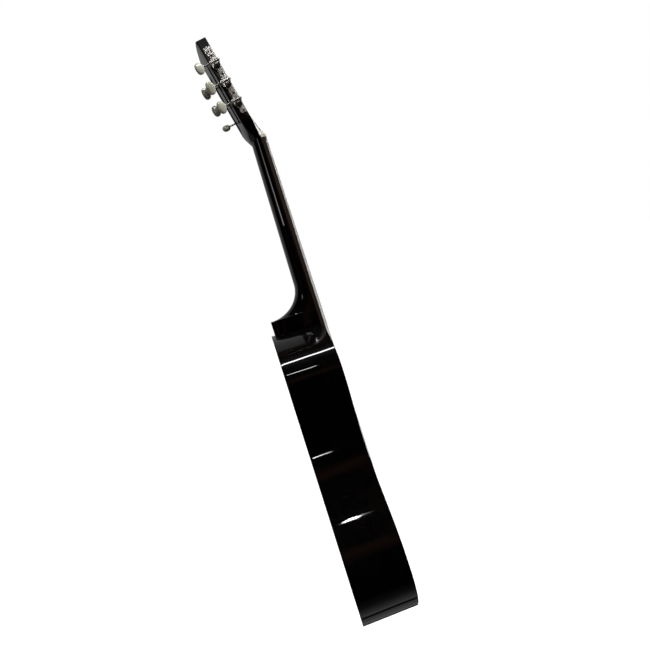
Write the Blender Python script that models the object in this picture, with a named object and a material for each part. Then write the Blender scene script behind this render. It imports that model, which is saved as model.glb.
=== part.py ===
"""Classical guitar with a slotted headstock, built piece by piece in Blender.

Frame, in metres: +X is the treble side, +Y points from the soundboard to the back, +Z runs up the neck.
z = 0 is the face of the nut where the open strings end, and y = 0 is the face of the soundboard.
The head has a frame of its own, tilted back: X across, Y from its face to its back, Z along it.
"""

import math

import bmesh
import bpy
from mathutils import Matrix, Vector
from mathutils.geometry import tessellate_polygon

MM = 0.001

# ---- driving dimensions -------------------------------------------------------------------------
GAP = 0.3 * MM  # left between pieces that touch
BEYOND = 5 * MM  # how far a cutter reaches past what it cuts
STEP = 0.1 * MM  # between the faces of shapes that are joined into one, which then cross cleanly

SCALE_LENGTH = 650 * MM
BODY_FRET = 12
LAST_FRET = 19
SADDLE_SETBACK = 1.5 * MM

BODY_LENGTH = 488 * MM
UPPER_BOUT = 275 * MM
WAIST = 237 * MM
LOWER_BOUT = 370 * MM
UPPER_BOUT_DROP = 75 * MM  # from the top of the body to its widest upper place
WAIST_DROP = 185 * MM
LOWER_BOUT_RISE = 118 * MM  # from the tail up to the widest place
DEPTH_AT_NECK = 86 * MM
DEPTH_AT_TAIL = 89 * MM

# How full each stretch of the outline is: its two handles, as shares of the stretch.
SHOULDER_FULLNESS = (0.62, 0.55)
UPPER_WAIST_FULLNESS = (0.5, 0.5)
LOWER_WAIST_FULLNESS = (0.45, 0.5)
TAIL_FULLNESS = (0.56, 0.6)

SOUNDBOARD_THICK = 2.6 * MM
BACK_THICK = 2.6 * MM
RIB_THICK = 2.2 * MM
BINDING_HIGH = 4.5 * MM
LINING_WIDE = 6 * MM
LINING_HIGH = 13 * MM
BLOCK_HALF_WIDE = 28 * MM
NECK_BLOCK_LONG = 30 * MM
TAIL_BLOCK_LONG = 15 * MM

SOUND_HOLE_RADIUS = 42.5 * MM
SOUND_HOLE_DROP = 0.5 * MM  # below the end of the fretboard
ROSETTE_INNER = 46 * MM
ROSETTE_OUTER = 58 * MM
ROSETTE_THICK = 1.0 * MM

HARMONIC_BAR_WIDE = 8 * MM
HARMONIC_BAR_HIGH = 15 * MM
FAN_BRACE_WIDE = 6 * MM
FAN_BRACE_HIGH = 5 * MM
FAN_BRACES = 5
FAN_PITCH_AT_HOLE = 17 * MM
FAN_PITCH_AT_TAIL = 35 * MM
FAN_FOOT_RISE = 24 * MM  # of each brace's foot above its inner neighbour's
FAN_TAIL_GAP = 25 * MM  # from the tail block
CLOSING_BAR_RISE = 62 * MM
CLOSING_BAR_REACH = 0.27  # of the lower bout
CLOSING_BAR_OVERLAP = 4 * MM  # past the centre line
HOLE_STRUT_INSET = 4 * MM  # from the rosette's edge
BACK_BAR_WIDE = 7 * MM
BACK_BAR_HIGH = 14 * MM
BACK_STRIP_WIDE = 16 * MM
BACK_STRIP_HIGH = 3 * MM
BACK_STRIP_END_GAP = 10 * MM
BACK_BARS = (0.16, 0.4, 0.68)  # places down the body

NUT_WIDTH = 52 * MM
NUT_THICK = 5 * MM
NUT_CROWN = 1.2 * MM
NUT_ABOVE_FRETS = 1.6 * MM
NUT_SLOT_DEEP = 0.8 * MM
NUT_SLOT_FALL = 0.5  # slope of a slot's floor, down towards the head
FRETBOARD_WIDTH_AT_BODY = 62 * MM
FRETBOARD_THICK = 6 * MM
FRETBOARD_TAIL = 3 * MM  # fretboard left beyond the last fret
FRET_HIGH = 1.1 * MM
FRET_WIDE = 2.2 * MM
FRET_END_INSET = 0.4 * MM

NECK_DEEP_AT_NUT = 16.8 * MM  # behind the fretboard
NECK_DEEP_AT_HEEL = 21 * MM
NECK_CROWN = 0.9  # the D's back: an ellipse has 1 and 1
NECK_CHEEK = 0.8
HEEL_CURVE_LONG = 52 * MM
HEEL_POINT_EXTRA = 1.8 * MM  # what the cap's plane cuts off the heel, at its point and at its foot
HEEL_LENGTH = 24 * MM  # of the foot, along the strings
HEEL_CAP_INSET = 6.5 * MM  # from the back of the body
HEEL_CAP_THICK = 2.5 * MM
HEEL_FOOT_EXTRA = 6.3 * MM

HEAD_ANGLE = math.radians(12.5)
HEAD_WIDTH = 74 * MM
HEAD_THICK = 18.5 * MM
HEAD_VENEER_THICK = 2 * MM
HEAD_SHOULDER_START = 8 * MM
HEAD_SHOULDER_END = 36 * MM
HEAD_CREST_RISE = 5 * MM
HEAD_ROOT_RELIEF = 1.2 * MM  # how much thinner the head is where it leaves the neck
HEAD_SIDE_WALL = 9.5 * MM
SLOT_WIDTH = 15 * MM
SLOT_BELOW_POSTS = 20.2 * MM  # from a slot's end to the nearest post
SLOT_ABOVE_POSTS = 18.8 * MM
HEAD_ABOVE_SLOTS = 37.5 * MM

TUNER_SPACING = 35 * MM
FIRST_WORM = 65.5 * MM  # along the head, the worm nearest the nut
POST_COVER = 0.9 * MM  # wood between a post and the veneer
POST_RADIUS = 4.6 * MM
POST_CHAMFER = 0.5 * MM
POST_SEAT = 7 * MM  # how far a post reaches into the centre of the head
POST_NECK_RADIUS = 3.0 * MM
POST_BOSS_RADIUS = 2.1 * MM
POST_HOLE_RADIUS = 0.9 * MM

PLATE_THICK = 1.2 * MM
PLATE_ABOVE_WORMS = 30 * MM
PLATE_BELOW_WORMS = 22 * MM
PLATE_DEPTH = 14 * MM
PLATE_WAIST_DEPTH = 10.5 * MM
LUG_THICK = 1.6 * MM
LUG_HALF_WIDE = 3.6 * MM
LUG_ABOVE_WORM = 0.6 * MM
PLATE_INSET = 0.2 * MM  # from the face of the head
PLATE_END_START = 2 * MM  # the flat bottom end runs from here
PLATE_END_STOP = 9 * MM
PLATE_BOTTOM_TAPER = 5 * MM
PLATE_TOP_TAPER = 10 * MM
PLATE_POINT_TAPER = 3 * MM
PLATE_SHOULDER_INSET = 1 * MM
WAIST_AFTER_WORM = 9 * MM  # the waist runs from here, above each worm,
WAIST_END_AFTER_WORM = 16 * MM  # to here

GEAR_TEETH = 14
GEAR_PITCH_RADIUS = 5.2 * MM
GEAR_TOOTH_RISE = 0.55 * MM  # of a tooth's tip above the pitch circle
GEAR_TOOTH_ROOT = 0.85 * MM  # and of its root below it
GEAR_TIP_SHARE = 0.13  # half a tooth's tip and root, as shares of the pitch
GEAR_ROOT_SHARE = 0.31
GEAR_THICK = 3.5 * MM
GEAR_LIFT = 3.2 * MM  # above the plate
GEAR_BORE_CLEARANCE = 0.25 * MM
GEAR_SCREW_HEAD_RADIUS = 3.3 * MM
GEAR_SCREW_HEAD_HIGH = 1.8 * MM
GEAR_SCREW_SHANK_RADIUS = 0.9 * MM
GEAR_SCREW_SHANK_LONG = 5 * MM

WORM_PITCH_RADIUS = 2.1 * MM
WORM_THREAD_RISE = 0.5 * MM
WORM_THREAD_ROOT = 0.75 * MM
WORM_TURNS = 3
WORM_STEPS = 10  # in each turn of the thread
THREAD_CREST = (0.19, 0.39)  # where the thread's crest starts and ends, as shares of its pitch
THREAD_BASE = 0.58  # and where its foot ends
WORM_COLLAR = 0.3 * MM  # plain core left at each end of the thread
WORM_TAIL = 1.5 * MM  # of the shaft, past the face of the head
WORM_SHAFT_RADIUS = 1.5 * MM
JOURNAL_CLEARANCE = 0.2 * MM

BUTTON_LENGTH = 14 * MM
BUTTON_WIDTH = 21 * MM
BUTTON_THICK = 9.5 * MM
BUTTON_BEHIND_HEAD = 9.2 * MM
BUTTON_SOCKET_DEEP = 8 * MM

BRIDGE_LENGTH = 186 * MM
BRIDGE_BLOCK_LENGTH = 84 * MM
BRIDGE_WING_HIGH = 3.2 * MM
BRIDGE_WING_EDGE = 1.2 * MM  # height of a wing's long edges
BRIDGE_SLOPE = 4 * MM  # how far the wings and the front slope up from them
BRIDGE_FRONT_HIGH = 7.5 * MM
BRIDGE_CHANNEL_HIGH = 4 * MM
TIE_BLOCK_HIGH = 8.6 * MM
BRIDGE_LEAD = 7.5 * MM  # bridge in front of the saddle's middle
CHANNEL_START = 4 * MM  # behind the saddle's middle
TIE_BLOCK_START = 8.5 * MM
TIE_BLOCK_END = 20.5 * MM
TIE_HOLE_RADIUS = 1.05 * MM
TIE_HOLE_HIGH = 4.4 * MM
SADDLE_LENGTH = 80 * MM
SADDLE_THICK = 2.6 * MM
SADDLE_SLOT_DEEP = 5 * MM
SADDLE_HIGH = 11.6 * MM
SADDLE_CROWN = 0.8 * MM

STRING_SPREAD_AT_NUT = 43 * MM
STRING_SPREAD_AT_SADDLE = 58 * MM
STRING_DIAMETERS = [v * MM for v in (1.12, 0.92, 0.78, 1.02, 0.84, 0.74)]  # from bass to treble
WINDING_TURNS = 2.6
WINDING_SPACING = 0.35 * MM  # between turns
WINDING_STARTS = [v * MM for v in (9, 6.5, 4.1)]  # from the slot's inner wall, nearest post first

END_PIN_HEAD_RADIUS = 7 * MM
END_PIN_HEAD_HIGH = 8 * MM
END_PIN_SHAFT_RADIUS = 4 * MM
END_PIN_SHAFT_LONG = 16 * MM

# Rest angle of each button about its shaft, for the strings from bass to treble.
BUTTON_TURNS = [math.radians(v) for v in (0, 12, -10, -6, 8, 55)]

# ---- places that follow from them ---------------------------------------------------------------
STRINGS = 6
PER_SIDE = STRINGS // 2


def fret_z(fret):
    """Height of a fret: each one shortens the string by a twelfth of an octave."""
    return -SCALE_LENGTH * (1 - 2 ** (-fret / 12))


BODY_TOP = fret_z(BODY_FRET)
BODY_TAIL = BODY_TOP - BODY_LENGTH
FRETBOARD_END = fret_z(LAST_FRET) - FRETBOARD_TAIL
SOUND_HOLE_Z = FRETBOARD_END - SOUND_HOLE_RADIUS - SOUND_HOLE_DROP
SADDLE_Z = -SCALE_LENGTH - SADDLE_SETBACK
SADDLE_TOP = -SADDLE_HIGH
FRETBOARD_TOP = -GAP - FRETBOARD_THICK
NUT_TOP = FRETBOARD_TOP - FRET_HIGH - NUT_ABOVE_FRETS
INNER_EDGE = RIB_THICK + GAP
LINING_EDGE = INNER_EDGE + LINING_WIDE
HEAD_HALF_SIDE = HEAD_WIDTH / 2
POST_DEPTH = HEAD_VENEER_THICK + POST_COVER + POST_RADIUS  # from the head's face to the posts' axis
WORM_TO_POST = WORM_PITCH_RADIUS + GEAR_PITCH_RADIUS
GEAR_TIP_RADIUS = GEAR_PITCH_RADIUS + GEAR_TOOTH_RISE
GEAR_ROOT_RADIUS = GEAR_PITCH_RADIUS - GEAR_TOOTH_ROOT
WORM_TIP_RADIUS = WORM_PITCH_RADIUS + WORM_THREAD_RISE
WORM_ROOT_RADIUS = WORM_PITCH_RADIUS - WORM_THREAD_ROOT
LAST_WORM = FIRST_WORM + (PER_SIDE - 1) * TUNER_SPACING
SLOT_START = FIRST_WORM - WORM_TO_POST - SLOT_BELOW_POSTS
SLOT_END = LAST_WORM - WORM_TO_POST + SLOT_ABOVE_POSTS
HEAD_LENGTH = SLOT_END + HEAD_ABOVE_SLOTS
PLATE_BOTTOM = FIRST_WORM - PLATE_BELOW_WORMS
PLATE_TOP = LAST_WORM + PLATE_ABOVE_WORMS
PLATE_INNER_X = HEAD_HALF_SIDE + GAP
PLATE_OUTER_X = PLATE_INNER_X + PLATE_THICK
GEAR_INNER_X = PLATE_OUTER_X + GEAR_LIFT
GEAR_OUTER_X = GEAR_INNER_X + GEAR_THICK
WORM_X = GEAR_INNER_X + GEAR_THICK / 2
LUG_TOP_X = WORM_X + WORM_TIP_RADIUS + LUG_ABOVE_WORM
GEAR_PITCH = 2 * math.pi * GEAR_PITCH_RADIUS / GEAR_TEETH
WORM_LEAD_ANGLE = math.atan(GEAR_PITCH / (2 * math.pi * WORM_PITCH_RADIUS))
SLOT_OUTER_X = HEAD_HALF_SIDE - HEAD_SIDE_WALL
SLOT_INNER_X = SLOT_OUTER_X - SLOT_WIDTH
BUTTON_START = HEAD_THICK + BUTTON_BEHIND_HEAD
WINDING_X = [SLOT_INNER_X + start for start in WINDING_STARTS]


def back_y(z):
    """The outside of the back at height z. It slopes, because the body is deeper at the tail."""
    share = (BODY_TOP - z) / BODY_LENGTH
    return DEPTH_AT_NECK + (DEPTH_AT_TAIL - DEPTH_AT_NECK) * share


def fretboard_half(z):
    return NUT_WIDTH / 2 + (FRETBOARD_WIDTH_AT_BODY - NUT_WIDTH) / 2 * z / BODY_TOP


# ---- outlines -----------------------------------------------------------------------------------
def bezier(p0, p1, p2, p3, steps):
    """Points of a cubic curve, without its last one."""
    points = []
    for i in range(steps):
        t = i / steps
        s = 1 - t
        points.append(s**3 * p0 + 3 * s * s * t * p1 + 3 * s * t * t * p2 + t**3 * p3)
    return points


def half_outline():
    """The treble half of the body's outline, as (x, z) from the middle of the top to the tail."""
    wide = [Vector(p) for p in (
        (0, BODY_TOP),
        (UPPER_BOUT / 2, BODY_TOP - UPPER_BOUT_DROP),
        (WAIST / 2, BODY_TOP - WAIST_DROP),
        (LOWER_BOUT / 2, BODY_TAIL + LOWER_BOUT_RISE),
        (0, BODY_TAIL),
    )]
    across, down = Vector((1, 0)), Vector((0, -1))
    upper, waist = wide[1].y - wide[2].y, wide[2].y - wide[3].y
    start, end = SHOULDER_FULLNESS
    points = bezier(wide[0], wide[0] + start * wide[1].x * across,
                    wide[1] - end * UPPER_BOUT_DROP * down, wide[1], 9)
    start, end = UPPER_WAIST_FULLNESS
    points += bezier(wide[1], wide[1] + start * upper * down, wide[2] - end * upper * down, wide[2], 6)
    start, end = LOWER_WAIST_FULLNESS
    points += bezier(wide[2], wide[2] + start * waist * down, wide[3] - end * waist * down, wide[3], 7)
    start, end = TAIL_FULLNESS
    points += bezier(wide[3], wide[3] + start * LOWER_BOUT_RISE * down,
                     wide[4] + end * wide[3].x * across, wide[4], 11)
    return points + [wide[4]]


def inset(points, distance):
    """An open half outline moved inwards, keeping its ends on the centre line."""
    moved = []
    for i, p in enumerate(points):
        before = points[i - 1] if i else Vector((-points[1].x, points[1].y))
        after = points[i + 1] if i + 1 < len(points) else Vector((-points[-2].x, points[-2].y))
        along = (after - before).normalized()
        moved.append(p + distance * Vector((along.y, -along.x)))
    moved[0].x = moved[-1].x = 0
    return moved


def whole_outline(distance):
    """The closed outline, inset by distance."""
    half = inset(half_outline(), distance)
    return half + [Vector((-p.x, p.y)) for p in half[-2:0:-1]]


def circle(centre, radius, sides, start=0.0):
    turn = 2 * math.pi / sides
    return [Vector((centre[0] + radius * math.cos(start + turn * i),
                    centre[1] + radius * math.sin(start + turn * i))) for i in range(sides)]


def half_width_inside(z, distance):
    """How far the inset outline reaches from the centre line at height z."""
    points = inset(half_outline(), distance)
    return max(a.x + (b.x - a.x) * (z - a.y) / (b.y - a.y)
               for a, b in zip(points, points[1:]) if min(a.y, b.y) <= z <= max(a.y, b.y) and a.y != b.y)


# ---- mesh helpers -------------------------------------------------------------------------------
def material(name, colour, roughness, metallic=0.0):
    made = bpy.data.materials.new(name)
    made.use_nodes = True
    shader = made.node_tree.nodes["Principled BSDF"]
    shader.inputs["Base Color"].default_value = (*colour, 1)
    shader.inputs["Roughness"].default_value = roughness
    shader.inputs["Metallic"].default_value = metallic
    return made


def add(name, points, faces, look, parent=None, location=(0, 0, 0), rotation=(0, 0, 0)):
    """A closed mesh as a named object, its faces turned outwards."""
    mesh = bpy.data.meshes.new(name)
    mesh.from_pydata([tuple(p) for p in points], [], faces)
    shape = bmesh.new()
    shape.from_mesh(mesh)
    bmesh.ops.recalc_face_normals(shape, faces=shape.faces)
    shape.to_mesh(mesh)
    shape.free()
    mesh.shade_smooth()
    mesh.set_sharp_from_angle(angle=math.radians(35))
    made = bpy.data.objects.new(name, mesh)
    bpy.context.scene.collection.objects.link(made)
    if look is not None:
        mesh.materials.append(look)
    made.parent = parent
    made.location = location
    made.rotation_euler = rotation
    return made


def empty(name, parent=None, location=(0, 0, 0), rotation=(0, 0, 0)):
    made = bpy.data.objects.new(name, None)
    bpy.context.scene.collection.objects.link(made)
    made.parent = parent
    made.location = location
    made.rotation_euler = rotation
    return made


def loft(rings, closed=False):
    """Points and faces through rings of equal length: capped at both ends, or closed on itself."""
    size = len(rings[0])
    points = [p for ring in rings for p in ring]
    faces = []
    for k in range(len(rings) if closed else len(rings) - 1):
        low, high = k * size, (k + 1) % len(rings) * size
        for i in range(size):
            j = (i + 1) % size
            faces.append((low + i, low + j, high + j, high + i))
    if not closed:
        faces += [tuple(range(size))[::-1], tuple(range(len(points) - size, len(points)))]
    return points, faces


def slab(outer, holes, near, far):
    """A flat piece with holes: loops of (x, z), and its two faces' y as numbers or functions of z."""
    near_y = near if callable(near) else lambda z: near
    far_y = far if callable(far) else lambda z: far
    loops = [outer, *holes]
    flat = [p for loop in loops for p in loop]
    count = len(flat)
    points = [(p.x, near_y(p.y), p.y) for p in flat] + [(p.x, far_y(p.y), p.y) for p in flat]
    faces = [tuple(t) for t in tessellate_polygon([[p.to_3d() for p in loop] for loop in loops])]
    faces += [tuple(count + i for i in t[::-1]) for t in faces]
    start = 0
    for loop in loops:
        for i in range(len(loop)):
            a, b = start + i, start + (i + 1) % len(loop)
            faces.append((a, b, count + b, count + a))
        start += len(loop)
    return points, faces


def band(outer, inner, near, far, closed):
    """A strip standing on edge between two outlines of equal length."""
    rings = [[Vector((a.x, near(a.y), a.y)), Vector((a.x, far(a.y), a.y)),
              Vector((b.x, far(b.y), b.y)), Vector((b.x, near(b.y), b.y))]
             for a, b in zip(outer, inner)]
    return loft(rings, closed)


def turned(profile, sides, start=0.0):
    """A solid of revolution about X: (x, radius) pairs from end to end."""
    turn = 2 * math.pi / sides
    return loft([[Vector((x, r * math.cos(start + turn * i), r * math.sin(start + turn * i)))
                  for i in range(sides)] for x, r in profile])


def along_y(shape):
    """A shape turned about X, laid along Y."""
    return moved(shape, Matrix.Rotation(math.pi / 2, 4, "Z"))


def box(low, high):
    (x0, y0, z0), (x1, y1, z1) = low, high
    return loft([[Vector((x, y, z)) for x, y in ((x0, y0), (x1, y0), (x1, y1), (x0, y1))] for z in (z0, z1)])


def moved(shape, matrix):
    points, faces = shape
    return [matrix @ Vector(p) for p in points], faces


def together(shapes):
    points, faces = [], []
    for some_points, some_faces in shapes:
        faces += [tuple(len(points) + i for i in face) for face in some_faces]
        points += list(some_points)
    return points, faces


def mirrored(shape, side):
    """A shape made for the treble side, for either side: side is 1 for treble and -1 for bass."""
    points, faces = shape
    return [Vector((side * p[0], p[1], p[2])) for p in points], faces


def combine(target, name, shape, operation, parent=None):
    """A Boolean modifier on target, with a hidden helper object as its operand."""
    helper = add(name, *shape, None, parent=parent)
    helper.hide_render = True
    helper.display_type = "WIRE"
    modifier = target.modifiers.new(name, "BOOLEAN")
    modifier.operation = operation
    modifier.solver = "EXACT"
    modifier.object = helper


def cut(target, name, shape, parent=None):
    combine(target, name, shape, "DIFFERENCE", parent)


# ---- the sound box ------------------------------------------------------------------------------
def make_soundboard(look):
    hole = circle((0, SOUND_HOLE_Z), SOUND_HOLE_RADIUS, 32)
    made = add("soundboard", *slab(whole_outline(INNER_EDGE), [hole], 0, SOUNDBOARD_THICK), look)
    outer = circle((0, SOUND_HOLE_Z), ROSETTE_OUTER, 32)
    inner = circle((0, SOUND_HOLE_Z), ROSETTE_INNER, 32)
    cut(made, "rosette_channel", slab(outer, [inner], -SOUNDBOARD_THICK, ROSETTE_THICK + GAP))


def make_rosette(look):
    outer = circle((0, SOUND_HOLE_Z), ROSETTE_OUTER - GAP, 32)
    inner = circle((0, SOUND_HOLE_Z), ROSETTE_INNER + GAP, 32)
    add("rosette", *slab(outer, [inner], 0, ROSETTE_THICK), look)


def make_back(look):
    add("back", *slab(whole_outline(INNER_EDGE), [], lambda z: back_y(z) - BACK_THICK, back_y), look)


def make_ribs(look):
    """Two bent sides, which meet behind the neck and at the tail."""
    start, end = GAP / 2, BINDING_HIGH + GAP
    outer, inner = half_outline(), inset(half_outline(), RIB_THICK)
    for loop in (outer, inner):
        loop[0].x = loop[-1].x = start
    for name, side in (("rib_bass", -1), ("rib_treble", 1)):
        shape = band(outer, inner, lambda z: end, lambda z: back_y(z) - end, False)
        made = add(name, *mirrored(shape, side), look)
        cut(made, name + "_pin_hole", end_pin_hole())


def make_bindings(look):
    outer, inner = whole_outline(0), whole_outline(RIB_THICK)
    add("binding_front", *band(outer, inner, lambda z: 0.0, lambda z: BINDING_HIGH, True), look)
    add("binding_back", *band(outer, inner, lambda z: back_y(z) - BINDING_HIGH, back_y, True), look)


def lining_inner_y():
    return SOUNDBOARD_THICK + GAP + LINING_HIGH


def make_linings(look):
    outer, inner = whole_outline(INNER_EDGE), whole_outline(LINING_EDGE)
    top = SOUNDBOARD_THICK + GAP
    low = BACK_THICK + GAP
    add("lining_front", *band(outer, inner, lambda z: top, lambda z: lining_inner_y(), True), look)
    add("lining_back", *band(outer, inner, lambda z: back_y(z) - low - LINING_HIGH,
                             lambda z: back_y(z) - low, True), look)


def block_ends():
    """The blocks stand between the two linings."""
    near = lining_inner_y() + GAP
    return near, lambda z: back_y(z) - BACK_THICK - 2 * GAP - LINING_HIGH


def block_outline(edge, deep):
    """A block's outline: it follows this edge of the body, listed from the centre line outwards."""
    steps = 6
    follow = []
    for k in range(-steps, steps + 1):
        x = BLOCK_HALF_WIDE * k / steps
        ends = next((a, b) for a, b in zip(edge, edge[1:]) if a.x <= abs(x) <= b.x)
        share = (abs(x) - ends[0].x) / (ends[1].x - ends[0].x)
        follow.append(Vector((x, ends[0].y + (ends[1].y - ends[0].y) * share)))
    inner = edge[0].y - deep
    return follow + [Vector((BLOCK_HALF_WIDE, inner)), Vector((-BLOCK_HALF_WIDE, inner))]


def make_blocks(look):
    near, far = block_ends()
    edge = inset(half_outline(), INNER_EDGE)
    add("neck_block", *slab(block_outline(edge, NECK_BLOCK_LONG), [], near, far), look)
    made = add("tail_block", *slab(block_outline(edge[::-1], -TAIL_BLOCK_LONG), [], near, far), look)
    cut(made, "tail_block_pin_hole", end_pin_hole())


def end_pin_middle():
    return Vector((0, back_y(BODY_TAIL) / 2, BODY_TAIL))


def along_z(shape, middle):
    """A shape turned about X, stood on end at a point: its +X end points up the neck."""
    return moved(shape, Matrix.Translation(middle) @ Matrix.Rotation(-math.pi / 2, 4, "Y"))


def end_pin_hole():
    reach = 2 * END_PIN_SHAFT_LONG
    hole = turned([(-reach, END_PIN_SHAFT_RADIUS + GAP), (reach, END_PIN_SHAFT_RADIUS + GAP)], 12)
    return along_z(hole, end_pin_middle())


def make_end_pin(look):
    head = [
        (-END_PIN_HEAD_HIGH, 0.75), (-0.85 * END_PIN_HEAD_HIGH, 1.0), (-0.6 * END_PIN_HEAD_HIGH, 0.9),
        (-0.35 * END_PIN_HEAD_HIGH, 0.62), (-2 * GAP, 0.8),
    ]
    profile = [(x, r * END_PIN_HEAD_RADIUS) for x, r in head]
    profile += [(-GAP, END_PIN_SHAFT_RADIUS), (END_PIN_SHAFT_LONG, 0.9 * END_PIN_SHAFT_RADIUS)]
    add("end_pin", *along_z(turned(profile, 16), end_pin_middle()), look)


def bar(start, end, wide, near, far):
    """A straight brace from one (x, z) point to another."""
    along = (end - start).normalized()
    across = wide / 2 * Vector((-along.y, along.x))
    return slab([start - across, end - across, end + across, start + across], [], near, far)


def across_bar(z, wide, near, far):
    reach = min(half_width_inside(z + side * wide / 2, LINING_EDGE + GAP) for side in (-1, 0, 1))
    return bar(Vector((-reach, z)), Vector((reach, z)), wide, near, far)


def make_front_bracing(look):
    near = SOUNDBOARD_THICK + GAP
    bar_far, fan_far = near + HARMONIC_BAR_HIGH, near + FAN_BRACE_HIGH
    hole_reach = SOUND_HOLE_RADIUS + HARMONIC_BAR_WIDE
    upper, lower = SOUND_HOLE_Z + hole_reach, SOUND_HOLE_Z - hole_reach
    tail = BODY_TAIL + TAIL_BLOCK_LONG + FAN_TAIL_GAP
    made = add("front_bracing", *across_bar(lower, HARMONIC_BAR_WIDE, near, bar_far), look)
    combine(made, "upper_bar", across_bar(upper, HARMONIC_BAR_WIDE, near, bar_far), "UNION")
    for side in (-1, 1):
        x = side * (ROSETTE_OUTER - HOLE_STRUT_INSET)
        strut = bar(Vector((x, upper)), Vector((x, lower)), FAN_BRACE_WIDE, near, fan_far)
        combine(made, f"hole_strut_{side}", strut, "UNION")
        inner_end = Vector((-side * CLOSING_BAR_OVERLAP, tail))
        outer_end = Vector((side * CLOSING_BAR_REACH * LOWER_BOUT, tail + CLOSING_BAR_RISE))
        closing = bar(inner_end, outer_end, FAN_BRACE_WIDE, near, fan_far)
        combine(made, f"closing_bar_{side}", closing, "UNION")
    for i in range(FAN_BRACES):
        spread = i - (FAN_BRACES - 1) / 2
        top = Vector((spread * FAN_PITCH_AT_HOLE, lower))
        foot = Vector((spread * FAN_PITCH_AT_TAIL, tail + abs(spread) * FAN_FOOT_RISE))
        combine(made, f"fan_{i}", bar(top, foot, FAN_BRACE_WIDE, near, fan_far), "UNION")


def make_back_bracing(look):
    low = BACK_THICK + GAP

    def strip_near(z):
        return back_y(z) - low - BACK_STRIP_HIGH

    def strip_far(z):
        return back_y(z) - low

    def bar_near(z):
        return back_y(z) - low - BACK_BAR_HIGH

    def bar_far(z):
        return back_y(z) - low - STEP

    top = BODY_TOP - NECK_BLOCK_LONG - BACK_STRIP_END_GAP
    tail = BODY_TAIL + TAIL_BLOCK_LONG + BACK_STRIP_END_GAP
    strip = bar(Vector((0, top)), Vector((0, tail)), BACK_STRIP_WIDE, strip_near, strip_far)
    made = add("back_bracing", *strip, look)
    for i, share in enumerate(BACK_BARS):
        cross = across_bar(BODY_TOP - share * BODY_LENGTH, BACK_BAR_WIDE, bar_near, bar_far)
        combine(made, f"back_bar_{i}", cross, "UNION")


# ---- neck, fretboard and nut --------------------------------------------------------------------
def neck_section(z, half, depth, limit):
    """A D across the neck: its face at y = 0, its back an ellipse of this depth, cut off at a limit."""
    ring = []
    sides = 16
    for i in range(sides + 1):
        angle = math.pi * i / sides
        y = min(depth * math.sin(angle) ** NECK_CROWN, limit)
        x = half * math.copysign(abs(math.cos(angle)) ** NECK_CHEEK, math.cos(angle))
        ring.append(Vector((x, y, z)))
    return ring


def neck_depth(z):
    """Depth of the neck's back behind the fretboard, before the heel."""
    share = z / (BODY_TOP + HEEL_LENGTH + HEEL_CURVE_LONG)
    return NECK_DEEP_AT_NUT + (NECK_DEEP_AT_HEEL - NECK_DEEP_AT_NUT) * share


def heel_end():
    return back_y(BODY_TOP) - HEEL_CAP_INSET - HEEL_CAP_THICK - GAP


def heel_point_depth():
    return heel_end() + HEEL_POINT_EXTRA


def heel_foot(share):
    """Height and ellipse depth along the heel's foot, from its point to the body."""
    z = BODY_TOP + GAP + (HEEL_LENGTH - GAP) * (1 - share)
    return z, heel_point_depth() + (HEEL_FOOT_EXTRA - HEEL_POINT_EXTRA) * share


def make_neck(look):
    """The shaft and the heel, which is a quarter ellipse seen from the side."""
    curve_top = BODY_TOP + HEEL_LENGTH + HEEL_CURVE_LONG
    limit = heel_end()
    rings = []
    for i in range(5):
        z = curve_top * i / 5
        rings.append(neck_section(z, fretboard_half(z), neck_depth(z), limit))
    for i in range(9):
        angle = math.pi / 2 * i / 8
        z = curve_top - HEEL_CURVE_LONG * math.sin(angle)
        depth = neck_depth(curve_top) + (heel_point_depth() - neck_depth(curve_top)) * (1 - math.cos(angle))
        rings.append(neck_section(z, fretboard_half(z), depth, limit))
    for share in (0.35, 0.7, 1):
        z, depth = heel_foot(share)
        rings.append(neck_section(z, fretboard_half(z), depth, limit))
    add("neck", *loft(rings), look)


def make_heel_cap(look):
    """A thin plate on the flat end of the heel, following its outline."""
    limit = heel_end()
    loop = []
    for share in (0, 0.2, 0.5, 1):
        z, foot = heel_foot(share)
        sine = (limit / foot) ** (1 / NECK_CROWN)
        loop.append(Vector((fretboard_half(z) * (1 - sine * sine) ** (NECK_CHEEK / 2), z)))
    outline = loop + [Vector((-p.x, p.y)) for p in loop[::-1]]
    near = limit + GAP
    add("heel_cap", *slab(outline, [], near, near + HEEL_CAP_THICK), look)


def fret_shape(fret):
    """A fret's crown, which also reaches a little way into the wood."""
    z, half_wide = fret_z(fret), FRET_WIDE / 2
    root, shoulder, crown = (FRETBOARD_TOP + FRET_HIGH * rise for rise in (1, -0.5, -1))
    side = [(root, -half_wide), (shoulder, -half_wide), (crown, -0.3 * half_wide),
            (crown, 0.3 * half_wide), (shoulder, half_wide), (root, half_wide)]
    reach = fretboard_half(z) - FRET_END_INSET
    return loft([[Vector((x, y, z + up)) for y, up in side] for x in (-reach, reach)])


def make_fretboard(look):
    wide, narrow = fretboard_half(FRETBOARD_END), fretboard_half(-GAP)
    loop = [Vector((narrow, -GAP)), Vector((-narrow, -GAP)),
            Vector((-wide, FRETBOARD_END)), Vector((wide, FRETBOARD_END))]
    made = add("fretboard", *slab(loop, [], FRETBOARD_TOP, -GAP), look)
    combine(made, "frets", together([fret_shape(fret) for fret in range(1, LAST_FRET + 1)]), "UNION")


def string_x(index, spread):
    """Across the neck: 0 is the lowest bass string."""
    return spread * (index / (STRINGS - 1) - 0.5)


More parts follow.
